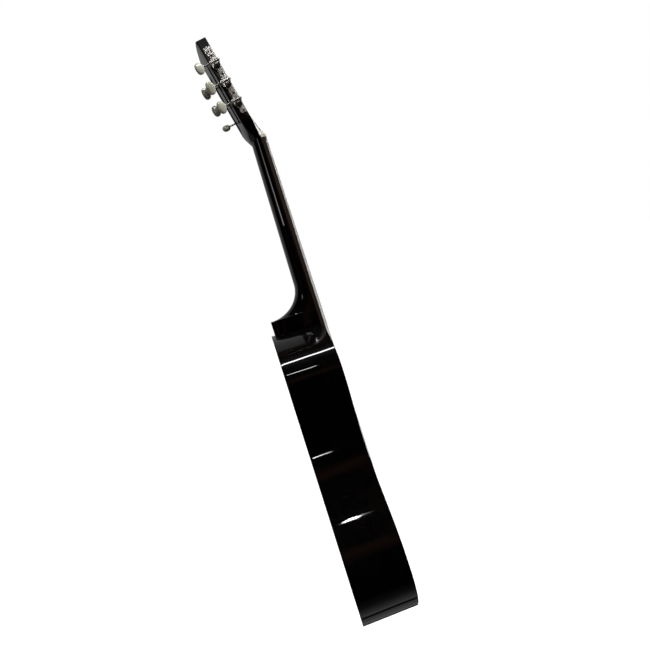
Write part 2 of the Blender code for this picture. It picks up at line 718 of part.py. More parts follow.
def make_nut(look):
    half = NUT_WIDTH / 2
    front, back = 0.0, NUT_THICK
    side = [(-GAP, front), (-GAP, back), (NUT_TOP + 2 * NUT_CROWN, back),
            (NUT_TOP + 0.3 * NUT_CROWN, 0.6 * back), (NUT_TOP, 0.2 * back), (NUT_TOP + 0.2 * NUT_CROWN, front)]
    rings = [[Vector((x, y, z)) for y, z in side] for x in (-half, half)]
    made = add("nut", *loft(rings), look)
    floor, crest = NUT_TOP + NUT_SLOT_DEEP, 0.3 * NUT_THICK
    fall = NUT_SLOT_FALL * (NUT_THICK + BEYOND - crest)
    side = [(-BEYOND, NUT_TOP - BEYOND), (-BEYOND, floor), (crest, floor),
            (NUT_THICK + BEYOND, floor + fall), (NUT_THICK + BEYOND, NUT_TOP - BEYOND)]
    slots = []
    for i, diameter in enumerate(STRING_DIAMETERS):
        x, wide = string_x(i, STRING_SPREAD_AT_NUT), diameter / 2 + GAP
        slots.append(loft([[Vector((x + end, y, z)) for z, y in side] for end in (-wide, wide)]))
    cut(made, "nut_slots", together(slots))


# ---- the head -----------------------------------------------------------------------------------
def head_half(a):
    """Half the head's width at a place along it: as wide as the nut, then a curved shoulder."""
    share = (a - HEAD_SHOULDER_START) / (HEAD_SHOULDER_END - HEAD_SHOULDER_START)
    flare = math.sin(math.pi / 2 * min(max(share, 0), 1))
    return NUT_WIDTH / 2 + (HEAD_HALF_SIDE - NUT_WIDTH / 2) * flare


def shoulder_stations():
    steps = 6
    length = HEAD_SHOULDER_END - HEAD_SHOULDER_START
    return [HEAD_SHOULDER_START + length * k / steps for k in range(steps + 1)]


def veneer_outline():
    """The head seen from the front, as (x, along) points, from the nut round the crest and back."""
    corner = HEAD_LENGTH - HEAD_CREST_RISE
    right = [Vector((head_half(a), a)) for a in [NUT_THICK, *shoulder_stations(), corner]]
    steps = 5
    for k in range(1, steps + 1):
        rise = HEAD_CREST_RISE * math.sin(math.pi / 2 * k / steps)
        right.append(Vector((HEAD_HALF_SIDE * (1 - k / steps), corner + rise)))
    return right + [Vector((-p.x, p.y)) for p in right[-2::-1]]


def crest_outline():
    """The arched end of the head, which starts a little inside its straight part."""
    outline = [p for p in veneer_outline() if p.y >= HEAD_LENGTH - HEAD_CREST_RISE]
    low = HEAD_LENGTH - 2 * HEAD_CREST_RISE
    inner = HEAD_HALF_SIDE - STEP
    return [Vector((inner, low)), *outline[1:-1], Vector((-inner, low))]


def head_section(front, rear, half, squareness):
    """A ring between two points on the centre line: a D at squareness 0, a rectangle at 1."""
    ring = []
    sides = 16
    for i in range(sides + 1):
        across, deep = math.cos(math.pi * i / sides), math.sin(math.pi * i / sides)
        reach = max(abs(across), deep)
        round_x = math.copysign(abs(across) ** NECK_CHEEK, across)
        x = (1 - squareness) * round_x + squareness * across / reach
        share = (1 - squareness) * deep ** NECK_CROWN + squareness * deep / reach
        ring.append(front.lerp(rear, share) + Vector((half * x, 0, 0)))
    return ring


def head_shape():
    """The head's wood. Its first ring continues the neck, and the next ones turn and square up."""
    to_world = Matrix.Rotation(-HEAD_ANGLE, 4, "X")
    rings = [head_section(Vector((0, 0, GAP)), Vector((0, neck_depth(GAP), GAP)), NUT_WIDTH / 2, 0)]
    for a in [*shoulder_stations(), HEAD_LENGTH - HEAD_CREST_RISE]:
        share = min(1, (a - HEAD_SHOULDER_START) / (HEAD_SHOULDER_END - HEAD_SHOULDER_START))
        deep = HEAD_THICK - HEAD_ROOT_RELIEF * (1 - share) ** 2
        ring = head_section(Vector((0, 0, a)), Vector((0, deep, a)), head_half(a), share**0.6)
        rings.append([to_world @ p for p in ring])
    return loft(rings)


def slot_shape(side):
    """One slot of the head, right through it, with round ends."""
    middle, radius = side * (SLOT_INNER_X + SLOT_OUTER_X) / 2, SLOT_WIDTH / 2
    loop = []
    for end, turn in ((SLOT_START + radius, -1), (SLOT_END - radius, 1)):
        for k in range(7):
            across, along = radius * math.cos(math.pi * k / 6), radius * math.sin(math.pi * k / 6)
            loop.append(Vector((middle - turn * across, end + turn * along)))
    return slab(loop, [], -BEYOND, HEAD_THICK + BEYOND)


def post_station(index):
    """Along the head, for the string with this index: the outer strings go to the posts nearest the nut."""
    step = index if index < PER_SIDE else STRINGS - 1 - index
    return FIRST_WORM - WORM_TO_POST + step * TUNER_SPACING


def side_of(index):
    return -1 if index < PER_SIDE else 1


def place_along_x(shape, b, a):
    return moved(shape, Matrix.Translation((0, b, a)))


def post_holes():
    """A hole through each side wall, and on into the middle of the head."""
    radius = POST_RADIUS + GAP
    hole = turned([(SLOT_INNER_X - POST_SEAT - GAP, radius), (HEAD_HALF_SIDE + BEYOND, radius)], 12)
    return together([place_along_x(mirrored(hole, side_of(i)), POST_DEPTH, post_station(i))
                     for i in range(STRINGS)])


def make_head(look, head):
    """The head's wood with its slots and post holes, and the veneer on its face."""
    seat = HEAD_VENEER_THICK + GAP
    made = add("headstock", *head_shape(), look)
    crest = slab(crest_outline(), [], seat, HEAD_THICK)
    combine(made, "head_crest", crest, "UNION", parent=head)
    low, high = (-HEAD_WIDTH, -HEAD_THICK, NUT_THICK), (HEAD_WIDTH, seat, 2 * HEAD_LENGTH)
    cut(made, "veneer_seat", box(low, high), parent=head)
    veneer = add("headstock_veneer", *slab(veneer_outline(), [], 0, HEAD_VENEER_THICK), look, parent=head)
    for side in (-1, 1):
        cut(made, f"slot_{side}", slot_shape(side), parent=head)
        cut(veneer, f"veneer_slot_{side}", slot_shape(side), parent=head)
    cut(made, "post_holes", post_holes(), parent=head)
    nut_room = (-NUT_WIDTH, -BEYOND, -BEYOND), (NUT_WIDTH, 0, NUT_THICK + GAP)
    cut(made, "nut_seat", box(*nut_room))
    cut(veneer, "veneer_end", box(nut_room[0], (NUT_WIDTH, BEYOND, NUT_THICK + GAP)))


# ---- tuning machines ----------------------------------------------------------------------------
def plate_outline():
    """A scalloped plate: wide at each gear, with a waist between them and a point at its top end."""
    waist, shoulder = PLATE_WAIST_DEPTH, PLATE_DEPTH - PLATE_SHOULDER_INSET
    edge = [(PLATE_END_START, PLATE_BOTTOM), (PLATE_END_STOP, PLATE_BOTTOM),
            (waist, PLATE_BOTTOM + PLATE_BOTTOM_TAPER)]
    for i in range(PER_SIDE):
        worm = FIRST_WORM + i * TUNER_SPACING
        edge += [(PLATE_DEPTH, worm - WORM_TO_POST), (PLATE_DEPTH + LUG_THICK, worm - LUG_HALF_WIDE),
                 (PLATE_DEPTH + LUG_THICK, worm + LUG_HALF_WIDE), (waist, worm + WAIST_AFTER_WORM)]
        if i + 1 < PER_SIDE:
            edge.append((waist, worm + WAIST_END_AFTER_WORM))
    edge += [(shoulder, PLATE_TOP - PLATE_TOP_TAPER), (shoulder, PLATE_TOP - PLATE_POINT_TAPER),
             (PLATE_DEPTH / 2, PLATE_TOP), (PLATE_SHOULDER_INSET, PLATE_TOP - PLATE_POINT_TAPER),
             (PLATE_INSET, PLATE_TOP - PLATE_TOP_TAPER), (PLATE_INSET, PLATE_BOTTOM + PLATE_BOTTOM_TAPER)]
    return [Vector(p) for p in edge]


def across_plate(shape):
    """A slab drawn in (depth, along) turned so that its thickness lies along X."""
    points, faces = shape
    return [Vector((p[1], p[0], p[2])) for p in points], faces


def make_plate(name, side, look, head):
    """Three machines share one plate, with two lugs standing up to carry each worm."""
    holes = [circle((POST_DEPTH, FIRST_WORM - WORM_TO_POST + i * TUNER_SPACING), POST_NECK_RADIUS + GAP, 12)
             for i in range(PER_SIDE)]
    shape = across_plate(slab(plate_outline(), holes, PLATE_INNER_X, PLATE_OUTER_X))
    made = add(name, *mirrored(shape, side), look, parent=head)
    journal = WORM_SHAFT_RADIUS + JOURNAL_CLEARANCE
    lugs, bores = [], []
    for i in range(PER_SIDE):
        worm = FIRST_WORM + i * TUNER_SPACING
        for b in (PLATE_INSET, PLATE_DEPTH):
            low = (PLATE_INNER_X + PLATE_THICK / 2, b, worm - LUG_HALF_WIDE)
            lugs.append(box(low, (LUG_TOP_X, b + LUG_THICK, worm + LUG_HALF_WIDE)))
        bore = along_y(turned([(-BEYOND, journal), (PLATE_DEPTH + 2 * BEYOND, journal)], 12))
        bores.append(moved(bore, Matrix.Translation((WORM_X, 0, worm))))
    combine(made, name + "_lugs", mirrored(together(lugs), side), "UNION", parent=head)
    cut(made, name + "_bores", mirrored(together(bores), side), parent=head)


def post_shape():
    """The post about its own axis: +X points out of the head."""
    inner = SLOT_INNER_X - POST_SEAT
    shoulder = HEAD_HALF_SIDE
    return turned([
        (inner, POST_RADIUS - POST_CHAMFER), (inner + POST_CHAMFER, POST_RADIUS),
        (shoulder, POST_RADIUS), (shoulder, POST_NECK_RADIUS),
        (GEAR_INNER_X - GAP, POST_NECK_RADIUS), (GEAR_INNER_X - GAP, POST_BOSS_RADIUS),
        (GEAR_OUTER_X, POST_BOSS_RADIUS),
    ], 16)


def gear_outline(turn):
    """Teeth with straight flanks, as (depth, along) points about the post's axis."""
    pitch = 2 * math.pi / GEAR_TEETH
    loop = []
    for tooth in range(GEAR_TEETH):
        middle = turn + pitch * tooth
        for offset, radius in ((-GEAR_ROOT_SHARE, GEAR_ROOT_RADIUS), (-GEAR_TIP_SHARE, GEAR_TIP_RADIUS),
                               (GEAR_TIP_SHARE, GEAR_TIP_RADIUS), (GEAR_ROOT_SHARE, GEAR_ROOT_RADIUS)):
            angle = middle + offset * pitch
            loop.append(Vector((radius * math.sin(angle), radius * math.cos(angle))))
    return loop


def gear_shape():
    """A gear whose teeth lean over by the worm's lead angle, half of it each way from its middle."""
    lean = GEAR_THICK / 2 * math.tan(WORM_LEAD_ANGLE) / GEAR_PITCH_RADIUS
    half_tooth = math.pi / GEAR_TEETH
    bore = circle((0, 0), POST_BOSS_RADIUS + GEAR_BORE_CLEARANCE, 14)
    points, faces = across_plate(slab(gear_outline(half_tooth), [bore], GEAR_INNER_X, GEAR_OUTER_X))
    rim = GEAR_TEETH * 4
    count = len(points) // 2
    twisted = []
    for i, p in enumerate(points):
        turn = (lean if i < count else -lean) if i % count < rim else 0
        twisted.append(Matrix.Rotation(turn, 3, "X") @ p)
    return twisted, faces


def gear_screw_shape():
    head = GEAR_OUTER_X + GAP
    return turned([
        (GEAR_OUTER_X - GEAR_SCREW_SHANK_LONG, GEAR_SCREW_SHANK_RADIUS), (head, GEAR_SCREW_SHANK_RADIUS),
        (head, GEAR_SCREW_HEAD_RADIUS), (head + 0.5 * GEAR_SCREW_HEAD_HIGH, GEAR_SCREW_HEAD_RADIUS),
        (head + GEAR_SCREW_HEAD_HIGH, 0.6 * GEAR_SCREW_HEAD_RADIUS),
    ], 12)


def worm_angle(step):
    """Angle about the worm. It starts where the middle of the thread then meets a gap of the gear."""
    return 2 * math.pi * (step / WORM_STEPS + 0.75 - WORM_TURNS / 2)


def screw_thread(start):
    """Rows of four points across a worm's thread, about Y, one row for each step of its turns."""
    lines = ((WORM_ROOT_RADIUS, 0.0), (WORM_TIP_RADIUS, THREAD_CREST[0]),
             (WORM_TIP_RADIUS, THREAD_CREST[1]), (WORM_ROOT_RADIUS, THREAD_BASE))
    rows = []
    for m in range(WORM_TURNS * WORM_STEPS + 1):
        angle = worm_angle(m)
        rows.append([Vector((r * math.cos(angle), start + GEAR_PITCH * (offset + m / WORM_STEPS),
                             r * math.sin(angle))) for r, offset in lines])
    return rows


def worm_shape():
    """The worm and its shaft about the Y axis, as one skin: the thread's rows, and rings at each shoulder."""
    thread_long = GEAR_PITCH * (WORM_TURNS + THREAD_BASE)
    start = POST_DEPTH - thread_long / 2
    rows, steps = screw_thread(start), WORM_STEPS
    total = len(rows) - 1
    points = [p for row in rows for p in row]

    def at(line, m):
        return 4 * m + line

    faces = []
    for m in range(total):
        faces += [(at(k, m), at(k + 1, m), at(k + 1, m + 1), at(k, m + 1)) for k in range(3)]
        if m + steps < total:
            faces.append((at(3, m), at(0, m + steps), at(0, m + steps + 1), at(3, m + 1)))
    faces += [tuple(at(line, m) for line in range(4)) for m in (0, total)]

    def ring(y, radius):
        first = len(points)
        for i in range(steps):
            angle = worm_angle(i)
            points.append(Vector((radius * math.cos(angle), y, radius * math.sin(angle))))
        return [first + i for i in range(steps)]

    def join(one, other):
        for i in range(steps):
            j = (i + 1) % steps
            faces.append((one[i], one[j], other[j], other[i]))

    low = ring(start - WORM_COLLAR, WORM_ROOT_RADIUS)
    for i in range(steps - 1):
        faces.append((low[i], low[i + 1], at(0, i + 1), at(0, i)))
    faces.append((low[-1], low[0], at(0, 0), at(3, 0), at(0, steps), at(0, steps - 1)))
    high = ring(start + thread_long + WORM_COLLAR, WORM_ROOT_RADIUS)
    first = total - steps
    for i in range(1, steps):
        faces.append((at(3, first + i), at(3, first + i + 1), high[(i + 1) % steps], high[i]))
    faces.append((at(3, first), at(0, total), at(3, total), high[0], high[1], at(3, first + 1)))
    lug_inside = PLATE_INSET + LUG_THICK + GAP
    socket_end = BUTTON_START + BUTTON_SOCKET_DEEP - GAP
    for inner, shoulder, far in ((low, lug_inside, -WORM_TAIL), (high, PLATE_DEPTH - GAP, socket_end)):
        step, tip = ring(shoulder, WORM_SHAFT_RADIUS), ring(far, WORM_SHAFT_RADIUS)
        join(inner, step)
        join(step, tip)
        faces.append(tuple(tip))
    return points, faces


def button_shape(turn):
    """An oval grip on the worm's shaft, widest past its middle, with a socket for the shaft."""
    rings = []
    sides = 14
    stations = ((0, 0.30, 0.55), (0.06, 0.42, 0.78), (0.3, 0.80, 0.95), (0.6, 1.0, 1.0), (0.85, 0.86, 0.86),
                (1.0, 0.5, 0.45))
    for share, wide, thick in stations:
        y = BUTTON_START + BUTTON_LENGTH * share
        ring = []
        for i in range(sides):
            angle = 2 * math.pi * i / sides
            ring.append(Vector((thick * BUTTON_THICK / 2 * math.cos(angle), y,
                                wide * BUTTON_WIDTH / 2 * math.sin(angle))))
        rings.append(ring)
    return moved(loft(rings), Matrix.Rotation(turn, 4, "Y"))


def make_tuner(index, looks, head):
    """One machine: a post with its gear and screw, and a worm with its button, each on its own axis."""
    side = side_of(index)
    name = f"{'bass' if side < 0 else 'treble'}_{min(index, STRINGS - 1 - index) + 1}"
    station = post_station(index)
    post_axis = empty(f"post_axis_{name}", head, (0, POST_DEPTH, station))
    post = add(f"post_{name}", *mirrored(post_shape(), side), looks["post"], parent=post_axis)
    hole_x = side * WINDING_X[min(index, STRINGS - 1 - index)]
    reach = POST_RADIUS + BEYOND
    hole = moved(along_y(turned([(-reach, POST_HOLE_RADIUS), (reach, POST_HOLE_RADIUS)], 8)),
                 Matrix.Translation((hole_x, 0, 0)))
    cut(post, f"post_{name}_hole", hole, parent=post_axis)
    screw_radius = GEAR_SCREW_SHANK_RADIUS + GAP
    screw_hole = turned([(GEAR_OUTER_X - GEAR_SCREW_SHANK_LONG - MM, screw_radius),
                         (GEAR_OUTER_X + BEYOND, screw_radius)], 12)
    cut(post, f"post_{name}_thread", mirrored(screw_hole, side), parent=post_axis)
    add(f"gear_{name}", *mirrored(gear_shape(), side), looks["brass"], parent=post_axis)
    add(f"gear_screw_{name}", *mirrored(gear_screw_shape(), side), looks["steel"], parent=post_axis)
    worm_axis = empty(f"worm_axis_{name}", head, (side * WORM_X, 0, station + WORM_TO_POST))
    add(f"worm_{name}", *mirrored(worm_shape(), side), looks["steel"], parent=worm_axis)
    button = add(f"button_{name}", *mirrored(button_shape(BUTTON_TURNS[index]), side), looks["button"],
                 parent=worm_axis)
    socket_radius = WORM_SHAFT_RADIUS + GAP
    reach = BUTTON_START + BUTTON_SOCKET_DEEP
    socket = along_y(turned([(BUTTON_START - BEYOND, socket_radius), (reach, socket_radius)], 10))
    cut(button, f"button_{name}_socket", socket, parent=worm_axis)


# ---- bridge and strings -------------------------------------------------------------------------
def make_bridge(look):
    """Thin wings and a thick middle with the saddle's slot, a channel and the block that strings tie to."""
    z0 = SADDLE_Z
    front, rear = z0 + BRIDGE_LEAD, z0 - TIE_BLOCK_END
    edge, wing = -GAP - BRIDGE_WING_EDGE, -GAP - BRIDGE_WING_HIGH
    wing_side = [(-GAP, front), (edge, front), (wing, front - BRIDGE_SLOPE),
                 (wing, rear + BRIDGE_SLOPE), (edge, rear), (-GAP, rear)]
    half = BRIDGE_LENGTH / 2
    wings = loft([[Vector((x, y, z)) for y, z in wing_side] for x in (-half, half)])
    made = add("bridge", *wings, look)
    foot, top, channel, tie_top = -2 * GAP, -BRIDGE_FRONT_HIGH, -BRIDGE_CHANNEL_HIGH, -TIE_BLOCK_HIGH
    inside = 3 * STEP
    middle_side = [(foot, front - inside), (wing - 2 * STEP, front - inside),
                   (top, front - BRIDGE_SLOPE), (top, z0 - CHANNEL_START),
                   (channel, z0 - CHANNEL_START - 0.5 * MM),
                   (channel + MM, z0 - TIE_BLOCK_START), (tie_top, z0 - TIE_BLOCK_START),
                   (tie_top, rear + MM), (tie_top + MM, rear + inside), (foot, rear + inside)]
    half = BRIDGE_BLOCK_LENGTH / 2
    middle = loft([[Vector((x, y, z)) for y, z in middle_side] for x in (-half, half)])
    combine(made, "bridge_middle", middle, "UNION")
    reach = SADDLE_LENGTH / 2 + GAP
    wide = SADDLE_THICK / 2 + GAP
    slot_floor = -BRIDGE_FRONT_HIGH + SADDLE_SLOT_DEEP
    cut(made, "saddle_slot", box((-reach, -SADDLE_HIGH - BEYOND, z0 - wide), (reach, slot_floor, z0 + wide)))
    deep = TIE_BLOCK_END - TIE_BLOCK_START
    drill = turned([(-BEYOND, TIE_HOLE_RADIUS), (deep + 3 * MM, TIE_HOLE_RADIUS)], 8)
    places = [Vector((string_x(i, STRING_SPREAD_AT_SADDLE), -TIE_HOLE_HIGH, rear)) for i in range(STRINGS)]
    cut(made, "tie_holes", together([along_z(drill, place) for place in places]))


def make_saddle(look):
    half, wide = SADDLE_LENGTH / 2, SADDLE_THICK / 2
    foot = -BRIDGE_FRONT_HIGH + SADDLE_SLOT_DEEP - GAP
    edge = SADDLE_TOP + SADDLE_CROWN
    side = [(foot, SADDLE_Z - wide), (edge, SADDLE_Z - wide), (SADDLE_TOP, SADDLE_Z - 0.3 * wide),
            (SADDLE_TOP, SADDLE_Z + 0.3 * wide), (edge, SADDLE_Z + wide), (foot, SADDLE_Z + wide)]
    add("saddle", *loft([[Vector((x, y, z)) for y, z in side] for x in (-half, half)]), look)


def winding(index, radius, arrives):
    """The turns round a post, in the head's frame, from where the string meets it."""
    side, station = side_of(index), post_station(index)
    steps = 10
    reach = (POST_RADIUS + GAP + radius) / math.cos(math.pi / steps)
    towards = Vector((arrives.y - POST_DEPTH, arrives.z - station))
    start = math.atan2(towards.x, towards.y) + math.acos(reach / towards.length)
    points = []
    for k in range(round(WINDING_TURNS * steps) + 1):
        angle = start + 2 * math.pi * k / steps
        x = side * (WINDING_X[min(index, STRINGS - 1 - index)] + (2 * radius + WINDING_SPACING) * k / steps)
        points.append(Vector((x, POST_DEPTH + reach * math.sin(angle), station + reach * math.cos(angle))))
    return points


def string_route(index, head_matrix):
    """A string's middle line from its tied end, over the saddle and the nut, to its post."""
    radius = STRING_DIAMETERS[index] / 2
    lift = radius + GAP
    x_saddle, x_nut = string_x(index, STRING_SPREAD_AT_SADDLE), string_x(index, STRING_SPREAD_AT_NUT)
    block_top, hole = -TIE_BLOCK_HIGH - lift, -TIE_HOLE_HIGH
    block_start, block_end = SADDLE_Z - TIE_BLOCK_START, SADDLE_Z - TIE_BLOCK_END
    aside = x_saddle + 2.2 * MM
    tie = [
        (aside, -BRIDGE_CHANNEL_HIGH - lift - 1.2 * MM, block_start + lift + 0.6 * MM),
        (aside, block_top + 1.2 * MM, block_start + lift + 0.3 * MM),
        (aside, block_top - 0.3 * MM, block_start - 0.5 * MM),
        (aside, block_top - 0.2 * MM, block_end + 0.5 * MM),
        (aside, block_top + 1.4 * MM, block_end - lift - 0.3 * MM),
        (x_saddle + 1.2 * MM, (block_top + hole) / 2, block_end - lift - 0.6 * MM),
        (x_saddle, hole, block_end - lift - 0.2 * MM), (x_saddle, hole, block_end + 2 * MM),
        (x_saddle, hole, block_start),
    ]
    route = [Vector(p) for p in tie]
    route.append(Vector((x_saddle, SADDLE_TOP - lift, SADDLE_Z - 0.8 * MM)))
    route.append(Vector((x_saddle, SADDLE_TOP - lift, SADDLE_Z + 0.8 * MM)))
    nut_y = NUT_TOP + NUT_SLOT_DEEP - lift
    route.append(Vector((x_nut, nut_y, -0.5 * MM)))
    over_nut = Vector((x_nut, nut_y + 0.15 * MM, 0.4 * NUT_THICK))
    route.append(over_nut)
    turns = winding(index, radius, head_matrix.inverted() @ over_nut)
    return route + [head_matrix @ p for p in turns]


def tube(route, radius, sides):
    """A round tube along a route, its rings carried round each bend without twisting."""
    rings = []
    across = None
    for i, p in enumerate(route):
        before, after = route[max(i - 1, 0)], route[min(i + 1, len(route) - 1)]
        along = (after - before).normalized()
        if across is None:
            across = along.orthogonal().normalized()
        across = (across - along * across.dot(along)).normalized()
        other = along.cross(across)
        bend = max(0.75, (after - p).normalized().dot(along)) if 0 < i < len(route) - 1 else 1
        rings.append([p + radius / bend * (math.cos(t) * across + math.sin(t) * other)
                      for t in (2 * math.pi * k / sides for k in range(sides))])
    return loft(rings)


def make_strings(looks, head_matrix):
    for i, diameter in enumerate(STRING_DIAMETERS):
        look = looks["wound_string"] if i < PER_SIDE else looks["nylon"]
        add(f"string_{STRINGS - i}", *tube(string_route(i, head_matrix), diameter / 2, 6), look)


# ---- the whole guitar ---------------------------------------------------------------------------
def clear_scene():
    for old in list(bpy.data.objects):
        bpy.data.objects.remove(old)


def make_looks():
    return {
        "lacquer": material("black_lacquer", (0.006, 0.006, 0.007), 0.08),
        "inside": material("inside_wood", (0.55, 0.38, 0.22), 0.7),
        "ebony": material("fretboard_wood", (0.03, 0.018, 0.012), 0.45),
        "bone": material("bone", (0.83, 0.79, 0.68), 0.4),
        "inlay": material("rosette_inlay", (0.42, 0.3, 0.16), 0.35),
        "pin": material("end_pin_plastic", (0.01, 0.01, 0.01), 0.2),
        "plate": material("nickel_plate", (0.72, 0.7, 0.68), 0.25, 1),
        "steel": material("steel", (0.6, 0.6, 0.6), 0.3, 1),
        "brass": material("gear_brass", (0.45, 0.38, 0.26), 0.35, 1),
        "post": material("post_sleeve", (0.8, 0.77, 0.68), 0.4),
        "button": material("pearl_button", (0.78, 0.77, 0.66), 0.25),
        "wound_string": material("wound_string", (0.66, 0.6, 0.52), 0.35, 1),
        "nylon": material("nylon", (0.85, 0.84, 0.8), 0.25),
    }


def main():
    clear_scene()
    looks = make_looks()
    make_soundboard(looks["lacquer"])
    make_rosette(looks["inlay"])
    make_back(looks["lacquer"])
    make_ribs(looks["lacquer"])
    make_bindings(looks["lacquer"])
    make_linings(looks["inside"])
    make_blocks(looks["inside"])
    make_front_bracing(looks["inside"])
    make_back_bracing(looks["inside"])
    make_end_pin(looks["pin"])
    make_neck(looks["lacquer"])
    make_heel_cap(looks["lacquer"])
    make_fretboard(looks["ebony"])
    make_nut(looks["bone"])
    head = empty("head_frame", rotation=(-HEAD_ANGLE, 0, 0))
    make_head(looks["lacquer"], head)
    make_plate("tuner_plate_bass", -1, looks["plate"], head)
    make_plate("tuner_plate_treble", 1, looks["plate"], head)
    for index in range(STRINGS):
        make_tuner(index, looks, head)
    make_bridge(looks["ebony"])
    make_saddle(looks["bone"])
    make_strings(looks, Matrix.Rotation(-HEAD_ANGLE, 4, "X"))


main()
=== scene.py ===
"""Looks of a black classical guitar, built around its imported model.

Row frame, in metres: +X is the treble side, +Y points from the soundboard to the back, +Z runs up the neck.
z = 0 is the nut and y = 0 the soundboard. The head has a frame of its own, tilted back about X.
"""

import math

import bmesh
import bpy
from mathutils import Matrix, Vector
from mathutils.geometry import tessellate_polygon


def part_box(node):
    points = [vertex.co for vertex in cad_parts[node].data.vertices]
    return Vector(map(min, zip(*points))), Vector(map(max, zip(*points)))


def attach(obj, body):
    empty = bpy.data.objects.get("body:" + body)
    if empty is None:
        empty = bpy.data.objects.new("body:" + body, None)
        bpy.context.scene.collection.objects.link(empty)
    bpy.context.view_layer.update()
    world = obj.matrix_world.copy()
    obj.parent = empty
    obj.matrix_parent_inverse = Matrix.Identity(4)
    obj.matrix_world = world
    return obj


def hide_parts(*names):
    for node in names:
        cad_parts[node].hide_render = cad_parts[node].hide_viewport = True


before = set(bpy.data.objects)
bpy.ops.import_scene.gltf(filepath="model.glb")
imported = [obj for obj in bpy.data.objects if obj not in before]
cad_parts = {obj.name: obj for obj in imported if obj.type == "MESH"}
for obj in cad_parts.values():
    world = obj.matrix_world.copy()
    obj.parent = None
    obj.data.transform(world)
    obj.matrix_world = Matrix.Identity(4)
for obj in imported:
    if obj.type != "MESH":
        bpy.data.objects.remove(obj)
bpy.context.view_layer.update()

MM = 0.001

# ---- sizes read from the frame ------------------------------------------------------------------
RIB_LOW, RIB_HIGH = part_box("rib_treble")
BODY_TOP, BODY_TAIL = RIB_HIGH.z, RIB_LOW.z
BODY_LENGTH = BODY_TOP - BODY_TAIL
LOWER_BOUT = 2 * RIB_HIGH.x
DEPTH_AT_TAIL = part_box("back")[1].y
FRETBOARD_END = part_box("fretboard")[0].z
NUT_LOW, NUT_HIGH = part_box("nut")
NUT_HALF = NUT_HIGH.x
NUT_THICK = NUT_HIGH.z
NUT_TOP = NUT_LOW.y
SADDLE_LOW, SADDLE_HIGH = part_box("saddle")
SADDLE_Z = (SADDLE_LOW.z + SADDLE_HIGH.z) / 2
SADDLE_TOP = SADDLE_LOW.y
BRIDGE_LOW, BRIDGE_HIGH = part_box("bridge")
ROSETTE_LOW, ROSETTE_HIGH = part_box("rosette")
SOUND_HOLE_Z = (ROSETTE_LOW.z + ROSETTE_HIGH.z) / 2
PIN_LOW, PIN_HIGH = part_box("end_pin")

# ---- sizes that the design sets -----------------------------------------------------------------
GAP = 0.3 * MM  # left between pieces that touch
BEYOND = 5 * MM  # how far a cutter reaches past what it cuts
PAST = 0.1  # well past the whole head, for a cutter that takes everything on one side
RIB_PARTING = 0.02 * MM  # from the centre line to the end of each rib
SCALE_LENGTH = 650 * MM
LAST_FRET = 19
UPPER_BOUT = 275 * MM
WAIST = 237 * MM
UPPER_BOUT_DROP = 75 * MM
WAIST_DROP = 185 * MM
LOWER_BOUT_RISE = 118 * MM
DEPTH_AT_NECK = 86 * MM
SHOULDER_FULLNESS = (0.62, 0.55)
UPPER_WAIST_FULLNESS = (0.5, 0.5)
LOWER_WAIST_FULLNESS = (0.45, 0.5)
TAIL_FULLNESS = (0.56, 0.6)
BOARD_THICK = 2.6 * MM
RIB_THICK = 2.2 * MM
BINDING_HIGH = 4.5 * MM
BINDING_ROUND = 1.0 * MM
SOUND_HOLE_RADIUS = 42.5 * MM
ROSETTE_INNER = 46 * MM
ROSETTE_OUTER = 58 * MM
ROSETTE_THICK = 1.0 * MM

FRETBOARD_THICK = 6 * MM
FRETBOARD_HALF_AT_BODY = 31 * MM
FRET_HIGH = 1.1 * MM
FRET_WIDE = 2.2 * MM
FRET_END_INSET = 0.4 * MM
NUT_SLOT_DEEP = 0.8 * MM
NECK_DEEP_AT_NUT = 16.8 * MM
NECK_DEEP_AT_HEEL = 21 * MM
NECK_CROWN = 0.9
NECK_CHEEK = 0.8
HEEL_CURVE_LONG = 52 * MM
HEEL_POINT_EXTRA = 1.8 * MM
HEEL_FOOT_EXTRA = 6.3 * MM
HEEL_LENGTH = 24 * MM
HEEL_CAP_INSET = 6.5 * MM
HEEL_CAP_THICK = 2.5 * MM

HEAD_ANGLE = math.radians(12.5)
HEAD_HALF = 37 * MM
HEAD_THICK = 18.5 * MM
VENEER_THICK = 2 * MM
SHOULDER_START = 8 * MM
SHOULDER_END = 36 * MM
CREST_RISE = 5 * MM
HEAD_LENGTH = 184.5 * MM
ROOT_RELIEF = 1.2 * MM
EDGE_POWER = 26  # how square the head's section is: a rectangle with this much of a round at its corners
SLOT_INNER_X = 12.5 * MM
SLOT_OUTER_X = 27.5 * MM
SLOT_START = 38 * MM
SLOT_END = 147 * MM

STRINGS = 6
PER_SIDE = STRINGS // 2
TUNER_SPACING = 35 * MM
FIRST_POST = 58.2 * MM
WORM_TO_POST = 7.3 * MM
POST_DEPTH = 7.5 * MM
POST_RADIUS = 4.6 * MM
POST_SEAT = 7 * MM
POST_NECK_RADIUS = 3.0 * MM
POST_BOSS_RADIUS = 2.1 * MM
POST_HOLE_RADIUS = 0.9 * MM
PLATE_BOTTOM = 43.5 * MM
PLATE_TOP = 165.5 * MM
PLATE_INNER_X = HEAD_HALF + GAP
PLATE_OUTER_X = PLATE_INNER_X + 1.2 * MM
PLATE_FACE = 0.2 * MM
PLATE_WAIST = 10.2 * MM
PLATE_DEPTH = 14 * MM
LUG_THICK = 1.6 * MM
LUG_HALF = 3.6 * MM
GEAR_TEETH = 14
GEAR_PITCH_RADIUS = 5.2 * MM
GEAR_TIP = 5.75 * MM
GEAR_ROOT = 4.35 * MM
GEAR_INNER_X = PLATE_OUTER_X + 3.2 * MM
GEAR_OUTER_X = GEAR_INNER_X + 3.5 * MM
GEAR_SCREW_RADIUS = 3.3 * MM
